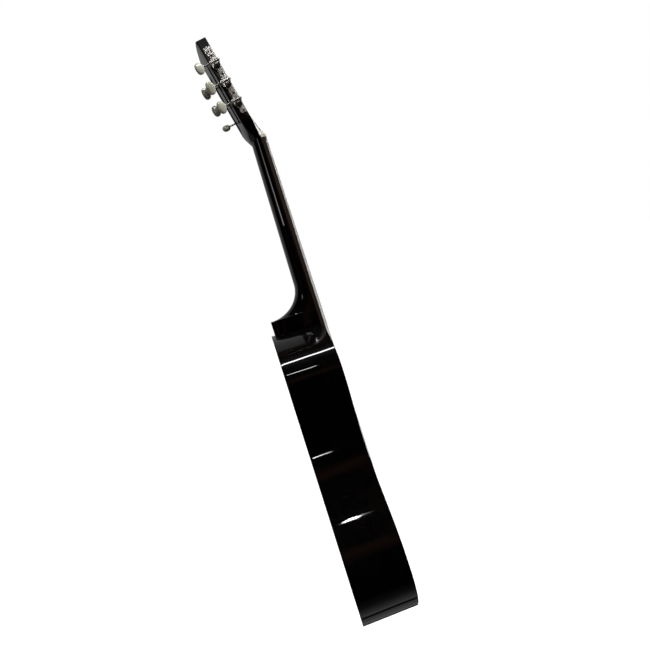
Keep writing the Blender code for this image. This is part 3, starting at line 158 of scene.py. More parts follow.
GEAR_SCREW_HIGH = 1.8 * MM
WORM_X = (GEAR_INNER_X + GEAR_OUTER_X) / 2
WORM_TIP = 2.6 * MM
WORM_ROOT = 1.35 * MM
WORM_PITCH_RADIUS = 2.1 * MM
WORM_TURNS = 3
SHAFT_RADIUS = 1.5 * MM
LUG_TOP_X = WORM_X + WORM_TIP + 0.6 * MM
THREAD_PITCH = 2 * math.pi * GEAR_PITCH_RADIUS / GEAR_TEETH
THREAD_BASE = 0.58
BUTTON_START = 27.7 * MM
BUTTON_LENGTH = 14 * MM
BUTTON_WIDTH = 21 * MM
BUTTON_THICK = 9.5 * MM
BUTTON_TURNS = [math.radians(v) for v in (0, 12, -10, -6, 8, 55)]

BRIDGE_BLOCK_HALF = 42 * MM
BRIDGE_WING_HIGH = 3.2 * MM
BRIDGE_EDGE_LONG = 4 * MM  # how far in from each long side the wings' rounding reaches
BRIDGE_FRONT_HIGH = 7.5 * MM
BRIDGE_CHANNEL_HIGH = 4 * MM
TIE_BLOCK_HIGH = 8.6 * MM
CHANNEL_START = 4 * MM
TIE_BLOCK_START = 8.5 * MM
TIE_BLOCK_END = 20.5 * MM
TIE_HOLE_HIGH = 4.4 * MM
TIE_HOLE_RADIUS = 1.05 * MM

SPREAD_AT_NUT = 43 * MM
SPREAD_AT_SADDLE = 58 * MM
STRING_DIAMETERS = [v * MM for v in (1.12, 0.92, 0.78, 1.02, 0.84, 0.74)]
WINDING_TURNS = 2.6
WINDING_SPACING = 0.35 * MM
WINDING_STARTS = [v * MM for v in (9, 6.5, 4.1)]

HEAD_TO_ROW = Matrix.Rotation(-HEAD_ANGLE, 4, "X")
FRETBOARD_TOP = -GAP - FRETBOARD_THICK


def fret_z(fret):
    return -SCALE_LENGTH * (1 - 2 ** (-fret / 12))


def back_y(z):
    share = (BODY_TOP - z) / BODY_LENGTH
    return DEPTH_AT_NECK + (DEPTH_AT_TAIL - DEPTH_AT_NECK) * share


def fretboard_half(z):
    return NUT_HALF + (FRETBOARD_HALF_AT_BODY - NUT_HALF) * z / BODY_TOP


# ---- node materials -----------------------------------------------------------------------------
class Nodes:
    """Short ways to add nodes to a material or a world."""

    def __init__(self, held, shader, place):
        self.made = held
        self.made.use_nodes = True
        self.tree = held.node_tree
        self.shader = self.tree.nodes[shader]
        self.place = self.node("ShaderNodeTexCoord").outputs[place]

    def node(self, kind):
        return self.tree.nodes.new(kind)

    def link(self, output, target):
        if isinstance(target, str):
            target = self.shader.inputs[target]
        self.tree.links.new(output, target)

    def mapped(self, stretch):
        mapping = self.node("ShaderNodeMapping")
        mapping.inputs["Scale"].default_value = stretch
        self.link(self.place, mapping.inputs["Vector"])
        return mapping.outputs["Vector"]

    def noise(self, stretch, detail=3.0, distortion=0.0):
        """Noise with this many features a metre along X, Y and Z."""
        made = self.node("ShaderNodeTexNoise")
        made.inputs["Scale"].default_value = 1
        made.inputs["Detail"].default_value = detail
        made.inputs["Distortion"].default_value = distortion
        self.link(self.mapped(stretch), made.inputs["Vector"])
        return made.outputs["Fac"]

    def bands(self, scale, axis, distortion=0.0):
        made = self.node("ShaderNodeTexWave")
        made.bands_direction = axis
        made.inputs["Scale"].default_value = scale
        made.inputs["Distortion"].default_value = distortion
        made.inputs["Detail Scale"].default_value = 2
        self.link(self.place, made.inputs["Vector"])
        return made.outputs["Fac"]

    def math(self, operation, first, second=None):
        made = self.node("ShaderNodeMath")
        made.operation = operation
        for socket, value in zip(made.inputs, (first, second)):
            if isinstance(value, (int, float)):
                socket.default_value = value
            elif value is not None:
                self.link(value, socket)
        return made.outputs[0]

    def ramp(self, factor, *stops):
        """Colours at places along a factor, as (place, colour) or (place, grey)."""
        made = self.node("ShaderNodeValToRGB")
        elements = made.color_ramp.elements
        while len(elements) < len(stops):
            elements.new(0.5)
        for element, (place, colour) in zip(elements, stops):
            element.position = place
            element.color = (*colour, 1) if isinstance(colour, tuple) else (colour, colour, colour, 1)
        self.link(factor, made.inputs["Fac"])
        return made.outputs["Color"]

    def mix(self, factor, first, second):
        made = self.node("ShaderNodeMix")
        made.data_type = "RGBA"
        self.link(factor, made.inputs["Factor"])
        for name, value in (("A", first), ("B", second)):
            socket = next(s for s in made.inputs if s.name == name and s.type == "RGBA")
            if isinstance(value, tuple):
                socket.default_value = (*value, 1)
            else:
                self.link(value, socket)
        return next(s for s in made.outputs if s.type == "RGBA")

    def axes(self, vector):
        split = self.node("ShaderNodeSeparateXYZ")
        self.link(vector, split.inputs[0])
        return split.outputs["X"], split.outputs["Y"], split.outputs["Z"]


class Look(Nodes):
    """A Principled material."""

    def __init__(self, name, colour, roughness, **sockets):
        super().__init__(bpy.data.materials.new(name), "Principled BSDF", "Object")
        sockets |= {"Base_Color": (*colour, 1), "Roughness": roughness}
        for key, value in sockets.items():
            self.shader.inputs[key.replace("_", " ")].default_value = value

    def bump(self, height, distance, coat=False):
        made = self.node("ShaderNodeBump")
        made.inputs["Distance"].default_value = distance
        self.link(height, made.inputs["Height"])
        self.link(made.outputs["Normal"], "Normal")
        if coat:
            self.link(made.outputs["Normal"], "Coat Normal")


def lacquer_look():
    """Thick black polyester: a mirror with faint orange peel, fine dust and a trace of brown in the stain."""
    look = Look("body_lacquer", (0.002, 0.002, 0.002), 0.3, Coat_Weight=1.0, Coat_Roughness=0.03,
                Coat_IOR=1.5, Specular_IOR_Level=0.02)
    grain = look.noise((260, 260, 9), 4)
    stain = look.ramp(grain, (0.35, (0.0005, 0.0005, 0.0006)), (0.75, (0.0022, 0.0016, 0.0013)))
    look.link(stain, "Base Color")
    worn = look.noise((35, 35, 35), 5)
    look.link(look.ramp(worn, (0.3, 0.22), (0.8, 0.42)), "Roughness")
    peel = look.noise((30, 30, 22), 1)
    dust = look.noise((900, 900, 900), 1)
    look.bump(look.math("ADD", peel, look.math("MULTIPLY", dust, 0.01)), 0.00018, coat=True)
    return look.made


def wood_look(name, dark, light, roughness, across=500, along=8, pores=0.35):
    """Open-grained wood that runs along Z, with darker pores and a slow change of colour."""
    look = Look(name, light, roughness)
    slow = look.noise((18, 18, 3), 2)
    fibre = look.noise((across, across, along), 4, 0.3)
    tone = look.mix(fibre, dark, light)
    shade = look.ramp(slow, (0.3, tuple(0.75 * c for c in dark)), (0.75, light))
    blend = look.mix(look.noise((60, 60, 4), 2), tone, shade)
    pore = look.noise((2.2 * across, 2.2 * across, 3 * along), 2)
    hole = look.ramp(pore, (pores - 0.06, 0.0), (pores, 1.0))
    look.link(look.mix(hole, tuple(0.4 * c for c in dark), blend), "Base Color")
    look.link(look.ramp(fibre, (0.2, roughness + 0.12), (0.8, max(roughness - 0.1, 0.05))), "Roughness")
    look.bump(look.math("ADD", look.math("MULTIPLY", fibre, 0.4), hole), 0.00006)
    return look.made


def bone_look():
    look = Look("bone", (0.8, 0.75, 0.62), 0.32, Subsurface_Weight=0.15, Subsurface_Scale=0.002)
    streak = look.noise((90, 300, 500), 3)
    look.link(look.ramp(streak, (0.3, (0.68, 0.61, 0.46)), (0.7, (0.86, 0.82, 0.7))), "Base Color")
    look.link(look.ramp(look.noise((400, 400, 400), 4), (0.3, 0.24), (0.8, 0.45)), "Roughness")
    look.bump(look.noise((700, 700, 2500), 3), 0.00003)
    return look.made


def pearl_look():
    """Cream pearloid: folded sheets of light and dark, under a clear gloss."""
    look = Look("pearl_button", (0.6, 0.58, 0.46), 0.22, Coat_Weight=0.8, Coat_Roughness=0.06,
                Subsurface_Weight=0.1, Subsurface_Scale=0.002)
    folds = look.noise((130, 130, 130), 2, 2.4)
    fine = look.noise((420, 420, 420), 3, 1.5)
    cream = look.ramp(folds, (0.3, (0.4, 0.39, 0.26)), (0.46, (0.62, 0.6, 0.46)),
                      (0.58, (0.48, 0.49, 0.38)), (0.7, (0.7, 0.68, 0.56)))
    look.link(look.mix(look.ramp(fine, (0.35, 0.0), (0.75, 0.5)), cream, (0.78, 0.76, 0.66)), "Base Color")
    look.link(look.ramp(folds, (0.3, 0.16), (0.7, 0.34)), "Roughness")
    look.bump(fine, 0.00004)
    return look.made


def nickel_look(name, bright, dull, engraved=False, metallic=1.0):
    """Plated metal with handling marks. Engraved, it has leafy cuts that hold dark polish."""
    look = Look(name, bright, 0.25, Metallic=metallic)
    patches = look.noise((70, 70, 70), 4)
    marks = look.noise((1500, 500, 1500), 2)
    tone = look.ramp(patches, (0.3, dull), (0.7, bright))
    rough = look.ramp(patches, (0.3, 0.4), (0.75, 0.26))
    if engraved:
        swirl = look.noise((330, 330, 330), 2, 3.2)
        line = look.math("ABSOLUTE", look.math("SUBTRACT", swirl, 0.5))
        cut = look.ramp(line, (0.015, 0.0), (0.05, 1.0))
        look.link(look.mix(cut, (0.14, 0.13, 0.12), tone), "Base Color")
        look.link(look.mix(cut, (0.6, 0.6, 0.6), rough), "Roughness")
        look.bump(look.math("ADD", cut, look.math("MULTIPLY", marks, 0.1)), 0.00006)
        return look.made
    look.link(tone, "Base Color")
    look.link(rough, "Roughness")
    look.bump(marks, 0.00002)
    return look.made


def plastic_look(name, colour, roughness):
    look = Look(name, colour, roughness)
    cloud = look.noise((120, 120, 120), 3)
    look.link(look.ramp(cloud, (0.3, tuple(0.8 * c for c in colour)), (0.7, colour)), "Base Color")
    worn = look.noise((600, 600, 600), 4)
    look.link(look.ramp(worn, (0.3, roughness * 0.8), (0.8, roughness * 1.5)), "Roughness")
    look.bump(look.noise((1500, 1500, 1500), 2), 0.00001)
    return look.made


def wound_look():
    """Fine silvered wire wound round a core: one band for each turn."""
    look = Look("wound_string", (0.7, 0.66, 0.6), 0.3, Metallic=0.35)
    turns = look.bands(900, "Z")
    look.link(look.ramp(turns, (0.1, (0.5, 0.47, 0.42)), (0.6, (0.9, 0.87, 0.82))), "Base Color")
    look.link(look.ramp(look.noise((300, 300, 60), 3), (0.3, 0.24), (0.8, 0.42)), "Roughness")
    look.bump(turns, 0.00006)
    return look.made


def nylon_look():
    look = Look("nylon_string", (0.86, 0.86, 0.83), 0.2, Subsurface_Weight=0.4, Subsurface_Scale=0.001)
    haze = look.noise((500, 500, 40), 3)
    look.link(look.ramp(haze, (0.3, (0.72, 0.72, 0.68)), (0.7, (0.92, 0.92, 0.9))), "Base Color")
    look.link(look.ramp(haze, (0.3, 0.14), (0.8, 0.3)), "Roughness")
    look.bump(look.noise((900, 900, 200), 2), 0.00001)
    return look.made


def rosette_look():
    """Rings round the sound hole: black and pale lines each side of a band of small wooden tiles."""
    look = Look("rosette_inlay", (0.4, 0.28, 0.15), 0.3, Coat_Weight=1.0, Coat_Roughness=0.04)
    shifted = look.node("ShaderNodeVectorMath")
    shifted.inputs[1].default_value = (0, 0, SOUND_HOLE_Z)
    shifted.operation = "SUBTRACT"
    look.link(look.place, shifted.inputs[0])
    x, _, z = look.axes(shifted.outputs[0])
    radius = look.math("SQRT", look.math("ADD", look.math("MULTIPLY", x, x), look.math("MULTIPLY", z, z)))
    share = look.math("DIVIDE", look.math("SUBTRACT", radius, ROSETTE_INNER), ROSETTE_OUTER - ROSETTE_INNER)
    angle = look.math("ARCTAN2", z, x)
    tiles = 120
    step = look.math("FLOOR", look.math("MULTIPLY", angle, tiles / (2 * math.pi)))
    row = look.math("FLOOR", look.math("MULTIPLY", share, 12))
    check = look.math("PINGPONG", look.math("ADD", step, row), 1)
    diamond = look.math("PINGPONG", look.math("ADD", step, look.math("PINGPONG", row, 3)), 3)
    tile = look.mix(look.math("GREATER_THAN", diamond, 1.5), (0.34, 0.12, 0.05), (0.72, 0.55, 0.3))
    tile = look.mix(look.math("MULTIPLY", check, 0.35), tile, (0.05, 0.12, 0.06))
    black, pale, red, straw = (0.02, 0.015, 0.01), (0.75, 0.62, 0.4), (0.3, 0.08, 0.04), (0.72, 0.6, 0.4)
    lines = look.ramp(share, (0.0, black), (0.06, pale), (0.11, black), (0.16, red), (0.22, straw),
                      (0.78, straw), (0.84, red), (0.89, black), (0.94, pale), (0.98, black))
    for node in look.tree.nodes:
        if node.type == "VALTORGB":
            node.color_ramp.interpolation = "CONSTANT"
    inside = look.math("MULTIPLY", look.math("GREATER_THAN", share, 0.25),
                       look.math("LESS_THAN", share, 0.76))
    grain = look.noise((900, 900, 900), 3)
    colour = look.mix(inside, lines, tile)
    look.link(look.mix(look.ramp(grain, (0.4, 0.0), (0.9, 0.5)), colour, (0.1, 0.05, 0.03)), "Base Color")
    look.bump(grain, 0.00002)
    return look.made


def make_looks():
    return {
        "lacquer": lacquer_look(),
        "inside": wood_look("inner_wood", (0.36, 0.2, 0.1), (0.62, 0.42, 0.24), 0.7, 350, 7),
        "spruce": wood_look("brace_wood", (0.6, 0.42, 0.22), (0.8, 0.63, 0.4), 0.7, 420, 5, 0.25),
        "ebony": wood_look("fretboard_wood", (0.012, 0.007, 0.005), (0.04, 0.024, 0.016), 0.4, 700, 12),
        "bone": bone_look(),
        "rosette": rosette_look(),
        "pin": plastic_look("pin_plastic", (0.012, 0.012, 0.013), 0.15),
        "sleeve": plastic_look("post_sleeve", (0.78, 0.74, 0.62), 0.35),
        "plate": nickel_look("nickel_plate", (0.9, 0.87, 0.82), (0.5, 0.47, 0.43), True, 0.55),
        "steel": nickel_look("steel", (0.75, 0.74, 0.72), (0.42, 0.4, 0.38)),
        "fret": nickel_look("fret_nickel", (0.72, 0.7, 0.64), (0.5, 0.47, 0.4), metallic=0.5),
        # The gears' dark colour is partly their own dark bronze and partly painted shade, standing for the
        # shadow they sit in between the plate and the worms.
        "gear": nickel_look("gear_brass", (0.16, 0.13, 0.1), (0.05, 0.042, 0.036)),
        "screw": nickel_look("screw_steel", (0.3, 0.29, 0.28), (0.12, 0.11, 0.1)),
        "pearl": pearl_look(),
        "wound": wound_look(),
        "nylon": nylon_look(),
    }


# ---- mesh helpers -------------------------------------------------------------------------------
def added(name, data):
    """A new object in the scene."""
    made = bpy.data.objects.new(name, data)
    bpy.context.scene.collection.objects.link(made)
    return made


def mesh_of(name, shape):
    """A mesh whose faces all point outwards."""
    points, faces = shape
    mesh = bpy.data.meshes.new(name)
    mesh.from_pydata([tuple(p) for p in points], [], faces)
    shaped = bmesh.new()
    shaped.from_mesh(mesh)
    bmesh.ops.recalc_face_normals(shaped, faces=shaped.faces)
    shaped.to_mesh(mesh)
    shaped.free()
    return mesh


def smooth(mesh, angle):
    """Shades a mesh smooth, with creases where faces meet at more than an angle in degrees."""
    mesh.shade_smooth()
    mesh.set_sharp_from_angle(angle=math.radians(angle))


def piece(name, shape, look, body, replaced=(), angle=35):
    """A closed mesh as a piece that rides on a body and stands for CAD nodes."""
    mesh = mesh_of(name, shape)
    smooth(mesh, angle)
    mesh.materials.append(look)
    made = added(name, mesh)
    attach(made, body)
    if replaced:
        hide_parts(*replaced)
    return made


def carve(made, shape, operation="DIFFERENCE", angle=35):
    """Cuts a shape from a piece, or joins it on, for good."""
    tool = added("tool", mesh_of("tool", shape))
    modifier = made.modifiers.new("carve", "BOOLEAN")
    modifier.operation = operation
    modifier.solver = "EXACT"
    modifier.object = tool
    graph = bpy.context.evaluated_depsgraph_get()
    carved = bpy.data.meshes.new_from_object(made.evaluated_get(graph))
    made.modifiers.clear()
    bpy.data.objects.remove(tool)
    made.data = carved
    smooth(carved, angle)


def line_with(made, look, faces_inwards):
    """Gives the faces that look inwards a second material."""
    made.data.materials.append(look)
    for face in made.data.polygons:
        if faces_inwards(face.center, face.normal):
            face.material_index = 1


def paint(node_names, look):
    for name in node_names:
        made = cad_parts[name]
        if not made.material_slots:
            made.data.materials.append(look)
        for held in made.material_slots:
            held.material = look


def loft(rings, closed=False):
    """Sides through rings of equal length. Triangles fill the flat ends, whatever their outline."""
    size = len(rings[0])
    points = [p for ring in rings for p in ring]
    faces = []
    for k in range(len(rings) if closed else len(rings) - 1):
        low, high = k * size, (k + 1) % len(rings) * size
        for i in range(size):
            j = (i + 1) % size
            faces.append((low + i, low + j, high + j, high + i))
    if not closed:
        last = len(points) - size
        faces += [tuple(t) for t in tessellate_polygon([rings[0]])]
        faces += [tuple(last + i for i in t) for t in tessellate_polygon([rings[-1]])]
    return points, faces


def slab(outer, holes, near, far):
    """A flat piece with holes: loops of (x, z), and its two faces' y as numbers or functions of z."""
    near_y = near if callable(near) else lambda z: near
    far_y = far if callable(far) else lambda z: far
    loops = [outer, *holes]
    flat = [p for loop in loops for p in loop]
    count = len(flat)
    points = [(p.x, near_y(p.y), p.y) for p in flat] + [(p.x, far_y(p.y), p.y) for p in flat]
    faces = [tuple(t) for t in tessellate_polygon([[p.to_3d() for p in loop] for loop in loops])]
    faces += [tuple(count + i for i in t[::-1]) for t in faces]
    start = 0
    for loop in loops:
        for i in range(len(loop)):
            a, b = start + i, start + (i + 1) % len(loop)
            faces.append((a, b, count + b, count + a))
        start += len(loop)
    return points, faces


def circle(centre, radius, sides):
    turn = 2 * math.pi / sides
    return [Vector((centre[0] + radius * math.cos(turn * i), centre[1] + radius * math.sin(turn * i)))
            for i in range(sides)]


def turned(profile, sides):
    """A solid of revolution about X: (x, radius) pairs from end to end."""
    turn = 2 * math.pi / sides
    return loft([[Vector((x, r * math.cos(turn * i), r * math.sin(turn * i))) for i in range(sides)]
                 for x, r in profile])


def box(low, high):
    (x0, y0, z0), (x1, y1, z1) = low, high
    return loft([[Vector((x, y, z)) for x, y in ((x0, y0), (x1, y0), (x1, y1), (x0, y1))] for z in (z0, z1)])


def moved(shape, matrix):
    points, faces = shape
    return [matrix @ Vector(p) for p in points], faces


def together(shapes):
    points, faces = [], []
    for some_points, some_faces in shapes:
        faces += [tuple(len(points) + i for i in face) for face in some_faces]
        points += list(some_points)
    return points, faces


def mirrored(shape, side):
    points, faces = shape
    return [Vector((side * p[0], p[1], p[2])) for p in points], faces


def along_y(shape):
    return moved(shape, Matrix.Rotation(math.pi / 2, 4, "Z"))


def along_z(shape, middle):
    return moved(shape, Matrix.Translation(middle) @ Matrix.Rotation(-math.pi / 2, 4, "Y"))


def on_head(shape):
    return moved(shape, HEAD_TO_ROW)


def smooth_path(points, steps):
    """A smooth curve through points."""
    ends = [2 * points[0] - points[1], *points, 2 * points[-1] - points[-2]]
    path = []
    for k in range(1, len(ends) - 2):
        a, b, c, d = ends[k - 1:k + 3]
        for i in range(steps):
            t = i / steps
            path.append(0.5 * (2 * b + (c - a) * t + (2 * a - 5 * b + 4 * c - d) * t * t
                               + (3 * b - a - 3 * c + d) * t**3))
    return [*path, points[-1]]


def tube(route, radius, sides):
    """A round tube along a route. radius is a number, or a function of the share of the way."""
    rings = []
    across = None
    for i, p in enumerate(route):
        before, after = route[max(i - 1, 0)], route[min(i + 1, len(route) - 1)]
        along = (after - before).normalized()
        if across is None:
            across = along.orthogonal().normalized()
        across = (across - along * across.dot(along)).normalized()
        other = along.cross(across)
        thick = radius(i / (len(route) - 1)) if callable(radius) else radius
        rings.append([p + thick * (math.cos(t) * across + math.sin(t) * other)
                      for t in (2 * math.pi * k / sides for k in range(sides))])
    return loft(rings)


# ---- the sound box ------------------------------------------------------------------------------
def bezier(p0, p1, p2, p3, steps):
    points = []
    for i in range(steps):
        t = i / steps
        s = 1 - t
        points.append(s**3 * p0 + 3 * s * s * t * p1 + 3 * s * t * t * p2 + t**3 * p3)
    return points


def half_outline():
    """The treble half of the body's outline, as (x, z) from the middle of the top to the tail."""
    wide = [Vector(p) for p in (
        (0, BODY_TOP),
        (UPPER_BOUT / 2, BODY_TOP - UPPER_BOUT_DROP),
        (WAIST / 2, BODY_TOP - WAIST_DROP),
        (LOWER_BOUT / 2, BODY_TAIL + LOWER_BOUT_RISE),
        (0, BODY_TAIL),
    )]
    across, down = Vector((1, 0)), Vector((0, -1))
    upper, waist = wide[1].y - wide[2].y, wide[2].y - wide[3].y
    start, end = SHOULDER_FULLNESS
    points = bezier(wide[0], wide[0] + start * wide[1].x * across,
                    wide[1] - end * UPPER_BOUT_DROP * down, wide[1], 40)
    start, end = UPPER_WAIST_FULLNESS
    points += bezier(wide[1], wide[1] + start * upper * down, wide[2] - end * upper * down, wide[2], 28)
    start, end = LOWER_WAIST_FULLNESS
    points += bezier(wide[2], wide[2] + start * waist * down, wide[3] - end * waist * down, wide[3], 32)
    start, end = TAIL_FULLNESS
    points += bezier(wide[3], wide[3] + start * LOWER_BOUT_RISE * down,
                     wide[4] + end * wide[3].x * across, wide[4], 48)
    return points + [wide[4]]


def inset(points, distance):
    """An open half outline moved inwards, keeping its ends on the centre line."""
    shifted = []
    for i, p in enumerate(points):
        before = points[i - 1] if i else Vector((-points[1].x, points[1].y))
        after = points[i + 1] if i + 1 < len(points) else Vector((-points[-2].x, points[-2].y))
        along = (after - before).normalized()
        shifted.append(p + distance * Vector((along.y, -along.x)))
    shifted[0].x = shifted[-1].x = 0
    return shifted


def whole_outline(distance):
    half = inset(half_outline(), distance)
    return half + [Vector((-p.x, p.y)) for p in half[-2:0:-1]]


def edge_band(loops, heights):
    """A strip swept round the body: each profile point has its own inset loop and its own y."""
    return [[Vector((loop[i].x, y(loop[i].y), loop[i].y)) for loop, y in zip(loops, heights)]
            for i in range(len(loops[0]))]


def binding(from_back):
    """A strip with a rounded outer edge. Depths are counted from its own face of the body."""
    profile = [(0, BINDING_HIGH), (0, BINDING_ROUND)]
    for k in range(1, 6):
        turn = math.pi / 2 * k / 6
        profile.append((BINDING_ROUND * (1 - math.cos(turn)), BINDING_ROUND * (1 - math.sin(turn))))
    profile += [(BINDING_ROUND, 0), (RIB_THICK, 0), (RIB_THICK, BINDING_HIGH)]

    def height(depth):
        return (lambda z: back_y(z) - depth) if from_back else (lambda z: depth)

    loops = [whole_outline(distance) for distance, _ in profile]
    return loft(edge_band(loops, [height(depth) for _, depth in profile]), True)


def make_sound_box(looks):
    lacquer, inside = looks["lacquer"], looks["inside"]
    hole = circle((0, SOUND_HOLE_Z), SOUND_HOLE_RADIUS, 96)
    shape = slab(whole_outline(RIB_THICK), [hole], 0, BOARD_THICK)
    board = piece("soundboard_lacquer", shape, lacquer, "guitar", ["soundboard"])
    rings = [circle((0, SOUND_HOLE_Z), radius, 128) for radius in (ROSETTE_OUTER, ROSETTE_INNER)]
    carve(board, slab(rings[0], [rings[1]], -BOARD_THICK, ROSETTE_THICK))
    line_with(board, inside, lambda centre, normal: normal.y > 0.5 and centre.y > 0.6 * BOARD_THICK)
    piece("rosette_mosaic", slab(rings[0], [rings[1]], 0, ROSETTE_THICK), looks["rosette"], "guitar",
          ["rosette"])
    shape = slab(whole_outline(RIB_THICK), [], lambda z: back_y(z) - BOARD_THICK, back_y)
    back = piece("back_lacquer", shape, lacquer, "guitar", ["back"])
    line_with(back, inside, lambda centre, normal: normal.y < -0.5)
    for name in ("binding_front", "binding_back"):
        shape = binding(name == "binding_back")
        piece(f"{name}_lacquer", shape, lacquer, "guitar", [name], 50)
    outer, inner = half_outline(), inset(half_outline(), RIB_THICK)
    for loop in (outer, inner):
        loop[0].x = loop[-1].x = RIB_PARTING
    near, far = (lambda z: BINDING_HIGH), (lambda z: back_y(z) - BINDING_HIGH)
    middle = Vector((0, DEPTH_AT_TAIL / 2, (BODY_TOP + BODY_TAIL) / 2))
    for name, side in (("rib_bass", -1), ("rib_treble", 1)):
        rings = edge_band([outer, outer, inner, inner], [near, far, far, near])
        rib = piece(f"{name}_lacquer", mirrored(loft(rings), side), lacquer, "guitar", [name])
        line_with(rib, inside, lambda centre, normal: normal.dot(middle - centre) > 0)
    paint(["lining_front", "lining_back", "neck_block", "tail_block"], inside)
    paint(["front_bracing", "back_bracing"], looks["spruce"])


def make_end_pin(look):
    """A turned button: a mushroom head on a short neck, and the shaft in the tail block."""
    radius, high = (PIN_HIGH.x - PIN_LOW.x) / 2, BODY_TAIL - PIN_LOW.z
    curve = [Vector(p) for p in ((0.0, -1.0), (0.5, -0.99), (0.85, -0.93), (1.0, -0.8), (0.96, -0.64),
                                 (0.76, -0.46), (0.62, -0.3), (0.7, -0.14), (0.86, -0.05))]
    profile = [(p.y * high, max(p.x, 0.02) * radius) for p in smooth_path(curve, 4)]
    profile += [(0, 0.9 * radius), (0, 0.55 * radius), (PIN_HIGH.z - BODY_TAIL, 0.5 * radius)]
    middle = Vector((0, back_y(BODY_TAIL) / 2, BODY_TAIL))
    piece("end_pin_turned", along_z(turned(profile, 40), middle), look, "guitar", ["end_pin"])


# ---- neck and fretboard -------------------------------------------------------------------------
def neck_section(z, half, depth, limit):
    sides = 48
    ring = []
    for i in range(sides + 1):
        across, deep = math.cos(math.pi * i / sides), math.sin(math.pi * i / sides)
        y = min(depth * max(deep, 0) ** NECK_CROWN, limit)
        ring.append(Vector((half * math.copysign(abs(across) ** NECK_CHEEK, across), y, z)))
    return ring


def neck_depth(z):
    share = z / (BODY_TOP + HEEL_LENGTH + HEEL_CURVE_LONG)
    return NECK_DEEP_AT_NUT + (NECK_DEEP_AT_HEEL - NECK_DEEP_AT_NUT) * share


def heel_end():
    return back_y(BODY_TOP) - HEEL_CAP_INSET - HEEL_CAP_THICK


def heel_foot(share):
    z = BODY_TOP + HEEL_LENGTH * (1 - share)
    return z, heel_end() + HEEL_POINT_EXTRA + (HEEL_FOOT_EXTRA - HEEL_POINT_EXTRA) * share


def make_neck(look):
    curve_top, limit = BODY_TOP + HEEL_LENGTH + HEEL_CURVE_LONG, heel_end()
    rings = []
    for i in range(20):
        z = curve_top * i / 20
        rings.append(neck_section(z, fretboard_half(z), neck_depth(z), limit))
    for i in range(25):
        angle = math.pi / 2 * i / 24
        z = curve_top - HEEL_CURVE_LONG * math.sin(angle)
        depth = neck_depth(curve_top) + (heel_foot(0)[1] - neck_depth(curve_top)) * (1 - math.cos(angle))
        rings.append(neck_section(z, fretboard_half(z), depth, limit))
    for share in (0.17, 0.33, 0.5, 0.67, 0.83, 1):
        z, depth = heel_foot(share)
        rings.append(neck_section(z, fretboard_half(z), depth, limit))
    piece("neck_lacquer", loft(rings), look, "guitar", ["neck"], 45)
    loop = []
    for k in range(13):
        z, foot = heel_foot(k / 12)
        sine = (limit / foot) ** (1 / NECK_CROWN)
        loop.append(Vector((fretboard_half(z) * (1 - sine * sine) ** (NECK_CHEEK / 2), z)))
    outline = loop + [Vector((-p.x, p.y)) for p in loop[::-1]]
    shape = slab(outline, [], limit, limit + HEEL_CAP_THICK)
    piece("heel_cap_lacquer", shape, look, "guitar", ["heel_cap"])


def make_fretboard(looks):
    wide, narrow, end = fretboard_half(FRETBOARD_END), fretboard_half(0), FRETBOARD_END
    edge, top = 0.5 * MM, FRETBOARD_TOP
    rings = []
    for half, z in ((narrow, -GAP), (wide, end)):
        rings.append([Vector((x, y, z)) for x, y in (
            (half, 0), (half, top + edge), (half - 0.3 * edge, top + 0.3 * edge), (half - edge, top),
            (edge - half, top), (0.3 * edge - half, top + 0.3 * edge), (-half, top + edge), (-half, 0))])
    piece("fretboard_wood", loft(rings), looks["ebony"], "guitar", ["fretboard"])
    frets = []
    for fret in range(1, LAST_FRET + 1):
        z, reach = fret_z(fret), fretboard_half(fret_z(fret)) - FRET_END_INSET
        steps = 10
        rings = []
        for x, grow in ((-reach, 0.45), (-reach + 0.7 * MM, 1), (reach - 0.7 * MM, 1), (reach, 0.45)):
            ring = [Vector((x, top + 0.3 * MM, z + hand * FRET_WIDE / 2)) for hand in (-1, 1)]
            for k in range(steps + 1):
                turn = math.pi * k / steps
                y = top - grow * FRET_HIGH * math.sin(turn)
                ring.append(Vector((x, y, z + FRET_WIDE / 2 * math.cos(turn))))
            rings.append(ring)
        frets.append(loft(rings))
    piece("frets", together(frets), looks["fret"], "guitar", ["fretboard"], 50)


def string_x(index, spread):
    return spread * (index / (STRINGS - 1) - 0.5)


def make_nut(look):
    """Bone, rounded towards the head, with a round-bottomed slot for each string."""
    crown, steps = 3.2 * MM, 10
    side = [(0, 0), (0, NUT_TOP + 0.3 * MM), (0.3 * MM, NUT_TOP)]
    for k in range(steps + 1):
        turn = math.pi / 2 * k / steps
        z = NUT_THICK - 0.6 * crown * (1 - math.sin(turn))
        side.append((z, NUT_TOP + crown * (1 - math.cos(turn))))
    side.append((NUT_THICK, 0))
    ease = 0.35 * MM
    ends = ((-NUT_HALF, ease), (-NUT_HALF + ease, 0), (NUT_HALF - ease, 0), (NUT_HALF, ease))
    rings = [[Vector((x, min(y + drop, 0), z)) for z, y in side] for x, drop in ends]
    nut = piece("nut_bone", loft(rings), look, "guitar", ["nut"], 30)
    for i, diameter in enumerate(STRING_DIAMETERS):
        radius = diameter / 2 + 0.08 * MM
        floor = NUT_TOP + NUT_SLOT_DEEP
        loop = [(radius, -2 * radius - 2 * MM)]
        for k in range(9):
            turn = math.pi * k / 8
            loop.append((radius * math.cos(turn), radius * (math.sin(turn) - 1)))
        loop += [(-radius, -2 * radius - 2 * MM)]
        x = string_x(i, SPREAD_AT_NUT)
        slot = loft([[Vector((x + across, floor + down + fall, z)) for across, down in loop]
                     for z, fall in ((-2 * MM, 0), (0.3 * NUT_THICK, 0), (NUT_THICK + 2 * MM, 2.7 * MM))])
        carve(nut, slot, angle=30)


